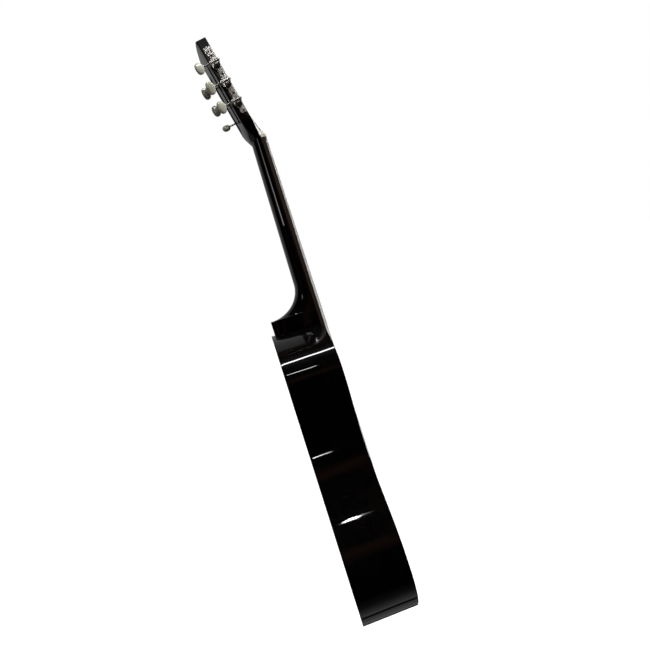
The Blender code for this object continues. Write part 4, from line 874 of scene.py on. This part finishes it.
# ---- head ---------------------------------------------------------------------------------------
def head_half(a):
    share = (a - SHOULDER_START) / (SHOULDER_END - SHOULDER_START)
    return NUT_HALF + (HEAD_HALF - NUT_HALF) * math.sin(math.pi / 2 * min(max(share, 0), 1))


def shoulder_stations():
    steps = 16
    return [SHOULDER_START + (SHOULDER_END - SHOULDER_START) * k / steps for k in range(steps + 1)]


def veneer_outline():
    corner = HEAD_LENGTH - CREST_RISE
    right = [Vector((head_half(a), a)) for a in [NUT_THICK, *shoulder_stations(), corner]]
    steps = 14
    for k in range(1, steps + 1):
        rise = CREST_RISE * math.sin(math.pi / 2 * k / steps)
        right.append(Vector((HEAD_HALF * (1 - k / steps), corner + rise)))
    return right + [Vector((-p.x, p.y)) for p in right[-2::-1]]


def head_section(front, rear, half, squareness):
    """A D that continues the neck at squareness 0, and a rectangle with eased rear corners at 1."""
    ring = []
    sides = 64
    for i in range(sides + 1):
        across, deep = math.cos(math.pi * i / sides), max(math.sin(math.pi * i / sides), 0)
        reach = (abs(across) ** EDGE_POWER + deep**EDGE_POWER) ** (1 / EDGE_POWER)
        x = (1 - squareness) * math.copysign(abs(across) ** NECK_CHEEK, across) + squareness * across / reach
        share = (1 - squareness) * deep**NECK_CROWN + squareness * deep / reach
        ring.append(front.lerp(rear, share) + Vector((half * x, 0, 0)))
    return ring


def head_shape():
    rings = [head_section(Vector((0, 0, 0)), Vector((0, neck_depth(0), 0)), NUT_HALF, 0)]
    for a in [*shoulder_stations(), HEAD_LENGTH - CREST_RISE]:
        share = min(1, (a - SHOULDER_START) / (SHOULDER_END - SHOULDER_START))
        deep = HEAD_THICK - ROOT_RELIEF * (1 - share) ** 2
        ring = head_section(Vector((0, 0, a)), Vector((0, deep, a)), head_half(a), share**0.6)
        rings.append([HEAD_TO_ROW @ p for p in ring])
    return loft(rings)


def slot_shape(side):
    middle, radius = side * (SLOT_INNER_X + SLOT_OUTER_X) / 2, (SLOT_OUTER_X - SLOT_INNER_X) / 2
    loop = []
    for end, turn in ((SLOT_START + radius, -1), (SLOT_END - radius, 1)):
        for k in range(17):
            across, along = radius * math.cos(math.pi * k / 16), radius * math.sin(math.pi * k / 16)
            loop.append(Vector((middle - turn * across, end + turn * along)))
    return on_head(slab(loop, [], -BEYOND, HEAD_THICK + BEYOND))


def side_of(index):
    return -1 if index < PER_SIDE else 1


def place_of(index):
    """0 is the machine nearest the nut."""
    return min(index, STRINGS - 1 - index)


def post_station(index):
    return FIRST_POST + place_of(index) * TUNER_SPACING


def post_holes():
    radius = POST_RADIUS + GAP
    hole = turned([(SLOT_INNER_X - POST_SEAT - GAP, radius), (HEAD_HALF + 5 * MM, radius)], 24)
    placed = [moved(mirrored(hole, side_of(i)), Matrix.Translation((0, POST_DEPTH, post_station(i))))
              for i in range(STRINGS)]
    return on_head(together(placed))


def make_head(look):
    head = piece("headstock_lacquer", head_shape(), look, "guitar", ["headstock"], 40)
    outline = [p for p in veneer_outline() if p.y >= HEAD_LENGTH - CREST_RISE]
    inner, low = HEAD_HALF - 0.1 * MM, HEAD_LENGTH - 2 * CREST_RISE
    crest = [Vector((inner, low)), *outline[1:-1], Vector((-inner, low))]
    carve(head, on_head(slab(crest, [], 0.6 * VENEER_THICK, HEAD_THICK - 0.35 * MM)), "UNION", 40)
    carve(head, on_head(box((-PAST, -PAST, NUT_THICK), (PAST, VENEER_THICK, 3 * PAST))), angle=40)
    veneer = piece("headstock_veneer_lacquer", on_head(slab(veneer_outline(), [], 0, VENEER_THICK)), look,
                   "guitar", ["headstock_veneer"])
    for side in (-1, 1):
        carve(head, slot_shape(side), angle=40)
        carve(veneer, slot_shape(side))
    carve(head, post_holes(), angle=40)
    carve(head, box((-PAST, -PAST, -PAST), (PAST, 0, NUT_THICK)), angle=40)
    carve(veneer, box((-PAST, -PAST, -PAST), (PAST, PAST, NUT_THICK)))


# ---- tuning machines ----------------------------------------------------------------------------
def plate_outline():
    """The plate's edge as (depth, along): lobes at its foot, a waist between machines, and a scrolled top."""
    edge = []
    lobes = ((0.26, 3.6), (0.5, 2.2), (0.8, 3.4))
    waist = PLATE_WAIST
    foot = PLATE_BOTTOM + 3.6 * MM
    for share, size in lobes:
        middle, radius = share * waist, size * MM / 1.6
        for k in range(7):
            turn = math.pi * (1 + k / 6)
            edge.append((middle + radius * math.cos(turn), foot + 1.55 * radius * math.sin(turn)))
    edge.append((waist, foot + 1.5 * MM))
    for i in range(PER_SIDE):
        worm = FIRST_POST + WORM_TO_POST + i * TUNER_SPACING
        far = PLATE_DEPTH + LUG_THICK
        edge += [(waist + 0.6 * MM, worm - LUG_HALF - 4 * MM), (far - 1.2 * MM, worm - LUG_HALF - 1 * MM),
                 (far, worm - LUG_HALF), (far, worm + LUG_HALF), (far - 1.2 * MM, worm + LUG_HALF + 1 * MM),
                 (waist + 0.5 * MM, worm + LUG_HALF + 3 * MM), (waist, worm + LUG_HALF + 7 * MM)]
    top = PLATE_TOP
    edge += [(11.8 * MM, top - 14 * MM), (13 * MM, top - 9 * MM), (13.2 * MM, top - 4 * MM),
             (12.2 * MM, top - 1.2 * MM), (10.4 * MM, top - 1.6 * MM), (9.2 * MM, top - 4 * MM)]
    edge += [(8.4 * MM, top - 1.4 * MM), (7 * MM, top), (5.6 * MM, top - 1.4 * MM), (4.8 * MM, top - 4 * MM)]
    edge += [(3.6 * MM, top - 1.6 * MM), (1.8 * MM, top - 1.2 * MM), (0.9 * MM, top - 4 * MM),
             (PLATE_FACE, top - 9 * MM), (PLATE_FACE, foot + 1.5 * MM)]
    return [Vector((max(b, PLATE_FACE), a)) for b, a in edge]


def on_side(shape):
    """A slab drawn in (depth, along), turned so that its thickness lies along X."""
    points, faces = shape
    return [Vector((p[1], p[0], p[2])) for p in points], faces


def drop(centre, long, wide, lean=0.0):
    """A teardrop opening, pointed at its upper end."""
    loop = []
    for k in range(18):
        turn = 2 * math.pi * k / 18
        across = wide * math.sin(turn) * (0.5 - 0.5 * math.cos(turn)) ** 0.6
        along = long * math.cos(turn)
        loop.append(Vector((centre[0] + across + lean * along, centre[1] + along)))
    return loop


def scroll(middle, size, hand, start):
    """A raised spiral wire on the plate, thinner towards its eye."""
    path = []
    for k in range(27):
        share = k / 26
        turn = start + hand * share * 1.6 * 2 * math.pi
        reach = size * (1 - 0.82 * share)
        depth, along = middle[0] + reach * math.cos(turn), middle[1] + reach * math.sin(turn)
        path.append(Vector((PLATE_OUTER_X, depth, along)))
    return tube(path, lambda share: (0.34 - 0.16 * share) * MM, 6)


def leaf(middle, long, wide, lean):
    """A raised leaf with a ridge along its middle."""
    rings = []
    for k in range(9):
        share = k / 8
        half = wide * math.sin(math.pi * share) ** 0.8 + 0.05 * MM
        along = long * (share - 0.5)
        ring = []
        profile = ((-half, 0), (-0.4 * half, 0.22), (0, 0.36), (0.4 * half, 0.22), (half, 0), (0, -0.3))
        for across, rise in profile:
            depth = middle[0] + across + lean * along
            ring.append(Vector((PLATE_OUTER_X + rise * MM, depth, middle[1] + along)))
        rings.append(ring)
    return loft(rings)


def lug(depth, worm):
    """An ear of the plate that carries the worm's shaft, rounded at its outer end."""
    foot = PLATE_INNER_X + 0.4 * MM
    loop = [Vector((foot, worm + LUG_HALF)), Vector((foot, worm - LUG_HALF))]
    middle = LUG_TOP_X - LUG_HALF
    for k in range(13):
        turn = -math.pi / 2 + math.pi * k / 12
        loop.append(Vector((middle + LUG_HALF * math.cos(turn), worm + LUG_HALF * math.sin(turn))))
    return slab(loop, [circle((WORM_X, worm), SHAFT_RADIUS + 0.12 * MM, 24)], depth, depth + LUG_THICK)


def slotted_head(radius, high, slot, turn, x):
    """A screw's head from x outwards along X: a disc under two halves, with a slot between them."""
    low, steps = x + 0.45 * high, 12
    shapes = [turned([(x, 0.9 * radius), (x + 0.12 * high, radius), (low, radius)], 28)]
    for hand in (-1, 1):
        rings = []
        for where, grow in ((low - 0.02 * MM, 1.0), (x + 0.8 * high, 0.93), (x + high, 0.7)):
            edge = math.acos(slot / 2 / (grow * radius))
            ring = []
            for k in range(steps + 1):
                angle = turn + hand * math.pi / 2 + edge * (2 * k / steps - 1)
                ring.append(Vector((where, grow * radius * math.cos(angle), grow * radius * math.sin(angle))))
            rings.append(ring)
        shapes.append(loft(rings))
    return together(shapes)


def plate_screws():
    """Depth, along and turn of the four screws that hold a plate, each clear of the gears."""
    return ((4.6 * MM, 47.6 * MM, 0.4), (4.9 * MM, 79.8 * MM, 1.3), (4.9 * MM, 114.8 * MM, 2.3),
            (6.9 * MM, 148.5 * MM, 0.9))


def make_plate(name, side, looks):
    holes = [circle((POST_DEPTH, FIRST_POST + i * TUNER_SPACING), POST_NECK_RADIUS + 0.1 * MM, 24)
             for i in range(PER_SIDE)]
    top = PLATE_TOP
    holes += [drop((3.2 * MM, top - 9 * MM), 3.8 * MM, 1.1 * MM, 0.05),
              drop((6.9 * MM, top - 8 * MM), 4.6 * MM, 1.2 * MM),
              drop((10.6 * MM, top - 9 * MM), 3.8 * MM, 1.1 * MM, -0.05)]
    shapes = [on_side(slab(plate_outline(), holes, PLATE_INNER_X, PLATE_OUTER_X))]
    for i in range(PER_SIDE):
        post = FIRST_POST + i * TUNER_SPACING
        worm = post + WORM_TO_POST
        shapes += [lug(depth, worm) for depth in (PLATE_FACE, PLATE_DEPTH)]
        if i + 1 < PER_SIDE:
            shapes += [scroll((3.2 * MM, worm + 8.6 * MM), 2.3 * MM, 1, 0.6),
                       scroll((7.6 * MM, worm + 11.2 * MM), 2.1 * MM, -1, 2.4),
                       leaf((6.2 * MM, worm + 19.6 * MM), 6 * MM, 1.2 * MM, 0.3),
                       leaf((2.4 * MM, worm + 18.4 * MM), 4.6 * MM, 0.9 * MM, -0.2),
                       leaf((8.6 * MM, worm + 17.4 * MM), 4.6 * MM, 0.9 * MM, -0.3)]
    shapes += [scroll((3.0 * MM, top - 17.6 * MM), 2.0 * MM, -1, 0.4),
               scroll((10.4 * MM, top - 16 * MM), 1.9 * MM, 1, 2.7)]
    shape = on_head(mirrored(together(shapes), side))
    piece(f"{name}_engraved", shape, looks["plate"], "guitar", [name])
    heads = [moved(slotted_head(1.75 * MM, 0.95 * MM, 0.5 * MM, turn, PLATE_OUTER_X),
                   Matrix.Translation((0, b, a))) for b, a, turn in plate_screws()]
    piece(f"{name}_screws", on_head(mirrored(together(heads), side)), looks["screw"], "guitar")


def gear_shape():
    """Leaning teeth with rounded tips, eased at both faces, and a raised hub."""
    pitch = 2 * math.pi / GEAR_TEETH
    lead = math.atan(THREAD_PITCH / (2 * math.pi * WORM_PITCH_RADIUS))
    lean = (GEAR_OUTER_X - GEAR_INNER_X) / 2 * math.tan(lead) / GEAR_PITCH_RADIUS
    tooth = ((-0.33, 0.0), (-0.24, 0.35), (-0.17, 0.75), (-0.11, 1.0), (0.11, 1.0), (0.17, 0.75),
             (0.24, 0.35), (0.33, 0.0))
    layers = ((0.0, 0.92), (0.1, 1.0), (0.35, 1.0), (0.65, 1.0), (0.9, 1.0), (1.0, 0.92))
    rings = []
    for share, grow in layers:
        x = GEAR_INNER_X + (GEAR_OUTER_X - GEAR_INNER_X) * share
        turn = lean * (1 - 2 * share)
        ring = []
        for k in range(GEAR_TEETH):
            for offset, rise in tooth:
                radius = GEAR_ROOT + (GEAR_TIP - GEAR_ROOT) * rise
                angle = math.pi / GEAR_TEETH + pitch * (k + offset) - turn
                radius = min(radius, GEAR_TIP) * grow
                ring.append(Vector((x, radius * math.sin(angle), radius * math.cos(angle))))
        rings.append(ring)
    hub = turned([(GEAR_OUTER_X - 0.1 * MM, 4.0 * MM), (GEAR_OUTER_X + 0.25 * MM, 3.9 * MM),
                  (GEAR_OUTER_X + 0.25 * MM, 3.0 * MM)], 36)
    return together([loft(rings), hub])


def worm_shape():
    """The worm's core and shaft, with its thread as a ridge that runs round it."""
    steps, long = 30, THREAD_PITCH * (WORM_TURNS + THREAD_BASE)
    start = POST_DEPTH - long / 2
    rows = []
    sunk = WORM_ROOT - 0.3 * MM
    for m in range(WORM_TURNS * steps + 1):
        turn = 2 * math.pi * (m / steps + 0.75 - WORM_TURNS / 2)
        fade = min(1, m / 6, (WORM_TURNS * steps - m) / 6)
        tip = WORM_ROOT + (WORM_TIP - WORM_ROOT) * (0.15 + 0.85 * fade)
        row = []
        for radius, offset in ((sunk, -0.05), (WORM_ROOT, 0.0), (tip, 0.19), (tip, 0.39),
                               (WORM_ROOT, THREAD_BASE), (sunk, THREAD_BASE + 0.05)):
            y = start + THREAD_PITCH * (offset + m / steps)
            row.append(Vector((radius * math.cos(turn), y, radius * math.sin(turn))))
        rows.append(row)
    inner, outer = PLATE_FACE + LUG_THICK, PLATE_DEPTH
    far = BUTTON_START + 6 * MM
    collar, washer = 1.25 * SHAFT_RADIUS, 1.15 * SHAFT_RADIUS
    first, last = start - 0.3 * MM, start + long + 0.3 * MM
    lug_end = outer + LUG_THICK
    profile = [(-1.5 * MM, 0.8 * SHAFT_RADIUS), (-1.2 * MM, SHAFT_RADIUS), (inner, SHAFT_RADIUS),
               (inner, collar), (first, collar), (first, WORM_ROOT), (last, WORM_ROOT), (last, collar),
               (outer, collar), (outer, SHAFT_RADIUS), (lug_end, SHAFT_RADIUS), (lug_end + 0.1 * MM, washer),
               (lug_end + 1.2 * MM, washer), (lug_end + 1.6 * MM, SHAFT_RADIUS), (far, SHAFT_RADIUS)]
    return together([loft(rows), along_y(turned(profile, 28))])


def button_shape(turn):
    """An oval pearloid grip, with a short neck where it takes the shaft."""
    profile = ((0.0, 0.28, 0.48), (0.04, 0.42, 0.64), (0.14, 0.7, 0.86), (0.32, 0.93, 0.96),
               (0.54, 1.0, 0.985), (0.76, 0.94, 0.9), (0.91, 0.72, 0.66), (0.98, 0.38, 0.36),
               (1.0, 0.06, 0.06))
    stations = [Vector(p) for p in profile]
    sides = 40
    rings = []
    for share, wide, thick in smooth_path(stations, 5):
        y = BUTTON_START + BUTTON_LENGTH * min(share, 1)
        ring = []
        for i in range(sides):
            angle = 2 * math.pi * i / sides
            across, along = math.cos(angle), math.sin(angle)
            x = max(thick, 0.04) * BUTTON_THICK / 2 * math.copysign(abs(across) ** 0.85, across)
            z = max(wide, 0.04) * BUTTON_WIDTH / 2 * math.copysign(abs(along) ** 0.95, along)
            ring.append(Vector((x, y, z)))
        rings.append(ring)
    return moved(loft(rings), Matrix.Rotation(turn, 4, "Y"))


def post_profile():
    """A sleeve with shallow grooves for the string, stepped down at the plate and again in the gear."""
    inner, outer = SLOT_INNER_X - POST_SEAT, HEAD_HALF
    profile = [(inner, POST_RADIUS - 0.5 * MM), (inner + 0.5 * MM, POST_RADIUS)]
    grooves = 9
    for k in range(grooves):
        middle = SLOT_INNER_X + (SLOT_OUTER_X - SLOT_INNER_X) * (k + 0.5) / grooves
        profile += [(middle - 0.5 * MM, POST_RADIUS), (middle, POST_RADIUS - 0.18 * MM),
                    (middle + 0.5 * MM, POST_RADIUS)]
    return profile + [(outer, POST_RADIUS), (outer, POST_NECK_RADIUS), (GEAR_INNER_X, POST_NECK_RADIUS),
                      (GEAR_INNER_X, POST_BOSS_RADIUS), (GEAR_OUTER_X, POST_BOSS_RADIUS)]


def make_tuner(index, looks):
    side, place = side_of(index), place_of(index)
    name = f"{'bass' if side < 0 else 'treble'}_{place + 1}"
    on_post = Matrix.Translation((0, POST_DEPTH, post_station(index)))
    on_worm = Matrix.Translation((WORM_X, 0, post_station(index) + WORM_TO_POST))

    def placed(shape, where):
        return on_head(mirrored(moved(shape, where), side))

    roller, key = f"roller_{name}", f"key_{name}"
    post = piece(f"post_{name}_sleeve", placed(turned(post_profile(), 40), on_post), looks["sleeve"], roller,
                 [f"post_{name}"], 25)
    hole_x = SLOT_INNER_X + WINDING_STARTS[place]
    reach = 2 * BEYOND
    hole = along_y(turned([(-reach, POST_HOLE_RADIUS), (reach, POST_HOLE_RADIUS)], 16))
    carve(post, placed(moved(hole, Matrix.Translation((hole_x, 0, 0))), on_post), angle=25)
    piece(f"gear_{name}_cut", placed(gear_shape(), on_post), looks["gear"], roller,
          [f"gear_{name}"], 30)
    screw = slotted_head(GEAR_SCREW_RADIUS, GEAR_SCREW_HIGH, 0.8 * MM, 0.7 + 1.1 * index, GEAR_OUTER_X + GAP)
    piece(f"gear_screw_{name}_slotted", placed(screw, on_post), looks["screw"], roller,
          [f"gear_screw_{name}"])
    piece(f"worm_{name}_threaded", placed(worm_shape(), on_worm), looks["steel"], key,
          [f"worm_{name}"], 30)
    piece(f"button_{name}_pearl", placed(button_shape(BUTTON_TURNS[index]), on_worm), looks["pearl"], key,
          [f"button_{name}"], 50)


# ---- bridge and strings -------------------------------------------------------------------------
def make_bridge(looks):
    """Low wings with eased edges, and a thick middle: saddle slot, channel and tie block."""
    front, rear, half = BRIDGE_HIGH.z, BRIDGE_LOW.z, BRIDGE_HIGH.x
    wing, edge = BRIDGE_WING_HIGH, 1.2 * MM
    rings = []
    for x, grow in ((-half, 0.45), (-half + 2 * MM, 0.85), (-half + 6 * MM, 1), (half - 6 * MM, 1),
                    (half - 2 * MM, 0.85), (half, 0.45)):
        curve = []
        for k in range(1, 6):
            turn = math.pi / 2 * k / 6
            y = -edge * grow - (wing - edge) * grow * math.sin(turn)
            curve.append((y, BRIDGE_EDGE_LONG * (1 - math.cos(turn))))
        side = [(0, front), (-edge * grow, front)]
        side += [(y, front - inwards) for y, inwards in curve]
        side += [(-wing * grow, front - BRIDGE_EDGE_LONG), (-wing * grow, rear + BRIDGE_EDGE_LONG)]
        side += [(y, rear + inwards) for y, inwards in curve[::-1]]
        side += [(-edge * grow, rear), (0, rear)]
        rings.append([Vector((x, y, z)) for y, z in side])
    bridge = piece("bridge_wood", loft(rings), looks["ebony"], "guitar", ["bridge"], 25)
    top, channel, tie = -BRIDGE_FRONT_HIGH, -BRIDGE_CHANNEL_HIGH, -TIE_BLOCK_HIGH
    z0, ease = SADDLE_Z, 0.5 * MM
    side = [(-0.6 * MM, front - 0.4 * MM), (-3.6 * MM, front - 0.4 * MM), (top + 2 * ease, front - 2.6 * MM),
            (top, front - 4 * MM), (top, z0 - CHANNEL_START + ease), (top + ease, z0 - CHANNEL_START),
            (channel, z0 - CHANNEL_START - ease), (channel + MM, z0 - TIE_BLOCK_START),
            (tie + ease, z0 - TIE_BLOCK_START), (tie, z0 - TIE_BLOCK_START - ease), (tie, rear + MM),
            (tie + MM, rear + 0.3 * MM), (-0.6 * MM, rear + 0.3 * MM)]
    reach = BRIDGE_BLOCK_HALF
    middle = []
    for x, drop_by in ((-reach, 0.5 * MM), (-reach + 0.5 * MM, 0), (reach - 0.5 * MM, 0), (reach, 0.5 * MM)):
        middle.append([Vector((x, min(y + drop_by, -0.5 * MM), z)) for y, z in side])
    carve(bridge, loft(middle), "UNION", 25)
    wide = (SADDLE_HIGH.z - SADDLE_LOW.z) / 2 + 0.05 * MM
    reach = SADDLE_HIGH.x + 0.05 * MM
    carve(bridge, box((-reach, -0.02, z0 - wide), (reach, SADDLE_HIGH.y + GAP, z0 + wide)), angle=25)
    past = 3 * MM
    drill = turned([(-past, TIE_HOLE_RADIUS), (TIE_BLOCK_END - TIE_BLOCK_START + past, TIE_HOLE_RADIUS)], 20)
    places = [Vector((string_x(i, SPREAD_AT_SADDLE), -TIE_HOLE_HIGH, rear)) for i in range(STRINGS)]
    carve(bridge, together([along_z(drill, place) for place in places]), angle=25)


def make_saddle(look):
    """Bone with a rounded crest, its ends eased."""
    half, wide, steps = SADDLE_HIGH.x, (SADDLE_HIGH.z - SADDLE_LOW.z) / 2, 12
    rings = []
    for x, down in ((-half, 0.6 * MM), (-half + 0.6 * MM, 0), (half - 0.6 * MM, 0), (half, 0.6 * MM)):
        ring = [Vector((x, SADDLE_HIGH.y, SADDLE_Z + wide)), Vector((x, SADDLE_HIGH.y, SADDLE_Z - wide))]
        for k in range(steps + 1):
            turn = math.pi * k / steps
            y = SADDLE_TOP + down + wide * (1 - math.sin(turn))
            ring.append(Vector((x, y, SADDLE_Z - wide * math.cos(turn))))
        rings.append(ring)
    piece("saddle_bone", loft(rings), look, "guitar", ["saddle"], 30)


def winding(index, radius, arrives):
    """The turns round a post, in the head's frame, from where the string meets it."""
    side, station, steps = side_of(index), post_station(index), 36
    reach = POST_RADIUS + GAP + radius
    towards = Vector((arrives.y - POST_DEPTH, arrives.z - station))
    start = math.atan2(towards.x, towards.y) + math.acos(reach / towards.length)
    points = []
    for k in range(round(WINDING_TURNS * steps) + 1):
        angle = start + 2 * math.pi * k / steps
        along = (2 * radius + WINDING_SPACING) * k / steps
        x = side * (SLOT_INNER_X + WINDING_STARTS[place_of(index)] + along)
        points.append(Vector((x, POST_DEPTH + reach * math.sin(angle), station + reach * math.cos(angle))))
    return points


def string_route(index):
    """A string's middle line from its tied end, over the saddle and the nut, to its post."""
    radius = STRING_DIAMETERS[index] / 2
    lift = radius + 0.12 * MM
    x_saddle, x_nut = string_x(index, SPREAD_AT_SADDLE), string_x(index, SPREAD_AT_NUT)
    block_top, hole = -TIE_BLOCK_HIGH - lift, -TIE_HOLE_HIGH
    block_start, block_end = SADDLE_Z - TIE_BLOCK_START, SADDLE_Z - TIE_BLOCK_END
    aside = x_saddle + 2.2 * MM
    tie = [
        (aside, -BRIDGE_CHANNEL_HIGH - lift - 1.2 * MM, block_start + lift + 0.6 * MM),
        (aside, block_top + 1.4 * MM, block_start + lift + 0.4 * MM),
        (aside, block_top, block_start - 1 * MM),
        (aside, block_top, block_end + 1 * MM),
        (aside, block_top + 1.4 * MM, block_end - lift - 0.3 * MM),
        (x_saddle + 1.2 * MM, (block_top + hole) / 2, block_end - lift - 0.6 * MM),
        (x_saddle, hole, block_end - lift - 0.2 * MM), (x_saddle, hole, block_end + 2 * MM),
        (x_saddle, hole, block_start),
    ]
    route = smooth_path([Vector(p) for p in tie], 6)
    over = SADDLE_TOP - radius
    crest = [(x_saddle, over + 0.12 * MM, SADDLE_Z - 0.8 * MM), (x_saddle, over, SADDLE_Z),
             (x_saddle, over + 0.06 * MM, SADDLE_Z + 0.8 * MM)]
    route += [Vector(p) for p in crest]
    nut_y = NUT_TOP + NUT_SLOT_DEEP - radius
    route += [Vector((x_nut, nut_y, 0)), Vector((x_nut, nut_y + 0.05 * MM, 0.3 * NUT_THICK))]
    turns = winding(index, radius, HEAD_TO_ROW.inverted() @ route[-1])
    return route + [HEAD_TO_ROW @ p for p in turns]


def make_strings(looks):
    for i, diameter in enumerate(STRING_DIAMETERS):
        look, slot = (looks["wound"], "wound_string") if i < PER_SIDE else (looks["nylon"], "nylon_string")
        name = f"string_{STRINGS - i}"
        piece(f"{name}_strung", tube(string_route(i), diameter / 2, 14), look, "guitar", [name], 60)


# ---- camera, floor and light --------------------------------------------------------------------
CAMERA_PLACE = Vector((-0.8523, 0.0855, -0.2991))
CAMERA_YAW = -0.111
CAMERA_PITCH = 0.041
CAMERA_ROLL = -0.308
CAMERA_LENS = 26.98
SENSOR_WIDTH = 36
FLOOR_Z = -1.6
FLOOR_HALF = 30
SUN_STRENGTH = 4.4
SUN_ANGLE = 0.6
EVEN_LIGHT = (0.09, 0.09, 0.09)  # what dull surfaces get from all round
BACKDROP = (1.0, 1.0, 1.0)


def make_camera():
    """It looks along +X at the bass side, from about the plane of the back."""
    yaw, pitch = Matrix.Rotation(CAMERA_YAW, 3, "Y"), Matrix.Rotation(CAMERA_PITCH, 3, "X")
    facing = Matrix(((0, -1, 0), (0, 0, -1), (1, 0, 0)))
    turned_by = Matrix.Rotation(CAMERA_ROLL, 3, "Z") @ pitch @ yaw @ facing
    place = Matrix((turned_by[0], -turned_by[1], -turned_by[2])).transposed().to_4x4()
    place.translation = CAMERA_PLACE
    held = bpy.data.cameras.new("camera")
    held.lens = CAMERA_LENS
    held.sensor_width = SENSOR_WIDTH
    held.clip_start = 0.01
    camera = added("camera", held)
    camera.matrix_world = place
    bpy.context.scene.camera = camera


def lamp(name, place, target, size, radiance, spread=180, shape="RECTANGLE"):
    """A soft box that faces a point, seen only in reflections. Its size is its height, then its width."""
    light = bpy.data.lights.new(name, "AREA")
    light.shape = shape
    light.size, light.size_y = size
    light.energy = radiance * math.pi * size[0] * size[1]
    light.spread = math.radians(spread)
    made = added(name, light)
    towards = Vector(target) - Vector(place)
    made.matrix_world = Matrix.Translation(place) @ towards.to_track_quat("-Z", "X").to_matrix().to_4x4()
    made.visible_diffuse = False
    made.visible_camera = False
    return made


def fill(name, place, target, size, radiance):
    """A soft box that lights dull surfaces and stays out of reflections."""
    made = lamp(name, place, target, size, radiance)
    made.visible_diffuse = True
    made.visible_glossy = False


def make_world():
    """White behind the object, a weak even light, and the dim room that the lacquer mirrors."""
    room = Nodes(bpy.data.worlds.new("studio"), "Background", "Generated")
    bpy.context.scene.world = room.made
    x, y, z = room.axes(room.place)
    half_x = room.math("MULTIPLY", room.math("ADD", x, 1), 0.5)
    cloud = room.noise((2.6, 2.6, 2.6), 1)
    seen = room.ramp(cloud, (0.56, 0.0), (0.8, (0.12, 0.055, 0.04)))
    floor = room.ramp(half_x, (0.17, 0.0), (0.33, 0.06), (0.54, 0.3), (0.56, 0.0), (0.6, 0.0), (0.62, 0.15),
                      (0.8, 0.15), (0.85, 0.0))
    wall = room.ramp(x, (0.38, 0.0), (0.46, 0.2))
    seen = room.mix(room.math("LESS_THAN", z, 0), seen, floor)
    high = room.math("MULTIPLY", room.math("GREATER_THAN", z, 0), room.math("GREATER_THAN", y, -0.06))
    seen = room.mix(room.math("MULTIPLY", high, room.math("GREATER_THAN", x, 0.38)), seen, wall)
    rays = room.node("ShaderNodeLightPath")
    seen = room.mix(rays.outputs["Is Diffuse Ray"], seen, EVEN_LIGHT)
    room.link(room.mix(rays.outputs["Is Camera Ray"], seen, BACKDROP), "Color")


def make_stage():
    half = FLOOR_HALF
    shape = ([(-half, -half, FLOOR_Z), (half, -half, FLOOR_Z), (half, half, FLOOR_Z), (-half, half, FLOOR_Z)],
             [(0, 1, 2, 3)])
    mesh = bpy.data.meshes.new("floor")
    mesh.from_pydata(shape[0], [], shape[1])
    look = Look("floor", (0.9, 0.9, 0.9), 0.9)
    look.link(look.ramp(look.noise((2, 2, 2), 3), (0.3, 0.88), (0.7, 0.92)), "Base Color")
    mesh.materials.append(look.made)
    floor = added("floor", mesh)
    floor.visible_glossy = False
    floor.visible_diffuse = False
    sun = bpy.data.lights.new("top_light", "SUN")
    sun.energy = SUN_STRENGTH
    sun.angle = SUN_ANGLE
    added("top_light", sun).visible_glossy = False


def make_lights():
    """Thin sources make the lines that the lacquer shows, and soft boxes light what isn't polished.

    Each has its place, the point it faces, its height and width, and its radiance. Some have a spread in
    degrees and a shape.
    """
    middle = Vector((0, 0.04, -0.35))
    lamp("ceiling_strip", (-0.52, -0.05, 1.18), (-0.12, 0.04, -0.37), (0.1, 1.1), 30)
    lamp("window_slit", (-1.388, 0.01, 0.54), (-0.134, 0.06, -0.382), (0.04, 0.16), 0.05, 8)
    lamp("window", (-1.388, -0.01, 0.505), (-0.168, 0.05, -0.672), (0.055, 0.2), 0.09, 3.8, "ELLIPSE")
    lamp("window_glow", (-1.392, -0.02, 0.5), (-0.168, 0.05, -0.672), (0.07, 0.42), 0.006, 3.8, "ELLIPSE")
    lamp("low_slit", (-1.58, 0.055, -0.815), (-0.119, 0.066, -0.52), (0.016, 0.13), 0.035, 6)
    lamp("head_window", (-1.11, -0.04, 0.63), (-0.04, 0.02, 0.1), (0.4, 0.5), 0.0045, 16)
    lamp("head_side", (-0.6, 0.75, 0.3), (-0.04, 0.04, 0.1), (0.5, 0.25), 0.08, 24)
    fill("key", (-1.1, -1.3, 0.7), (0, 0.03, 0.05), (0.8, 0.8), 13)
    fill("rear_fill", (1.3, 1.6, 0.5), middle, (1.6, 1.2), 0.5)
    fill("front_fill", (0.9, -1.9, 0.9), middle, (1.4, 1.0), 0.9)


# ---- the whole scene ----------------------------------------------------------------------------
def main():
    make_camera()
    bpy.context.scene.view_settings.view_transform = "Standard"
    looks = make_looks()
    make_sound_box(looks)
    make_end_pin(looks["pin"])
    make_neck(looks["lacquer"])
    make_fretboard(looks)
    make_nut(looks["bone"])
    make_head(looks["lacquer"])
    make_plate("tuner_plate_bass", -1, looks)
    make_plate("tuner_plate_treble", 1, looks)
    for index in range(STRINGS):
        make_tuner(index, looks)
    make_bridge(looks)
    make_saddle(looks["bone"])
    make_strings(looks)
    make_world()
    make_stage()
    make_lights()


main()
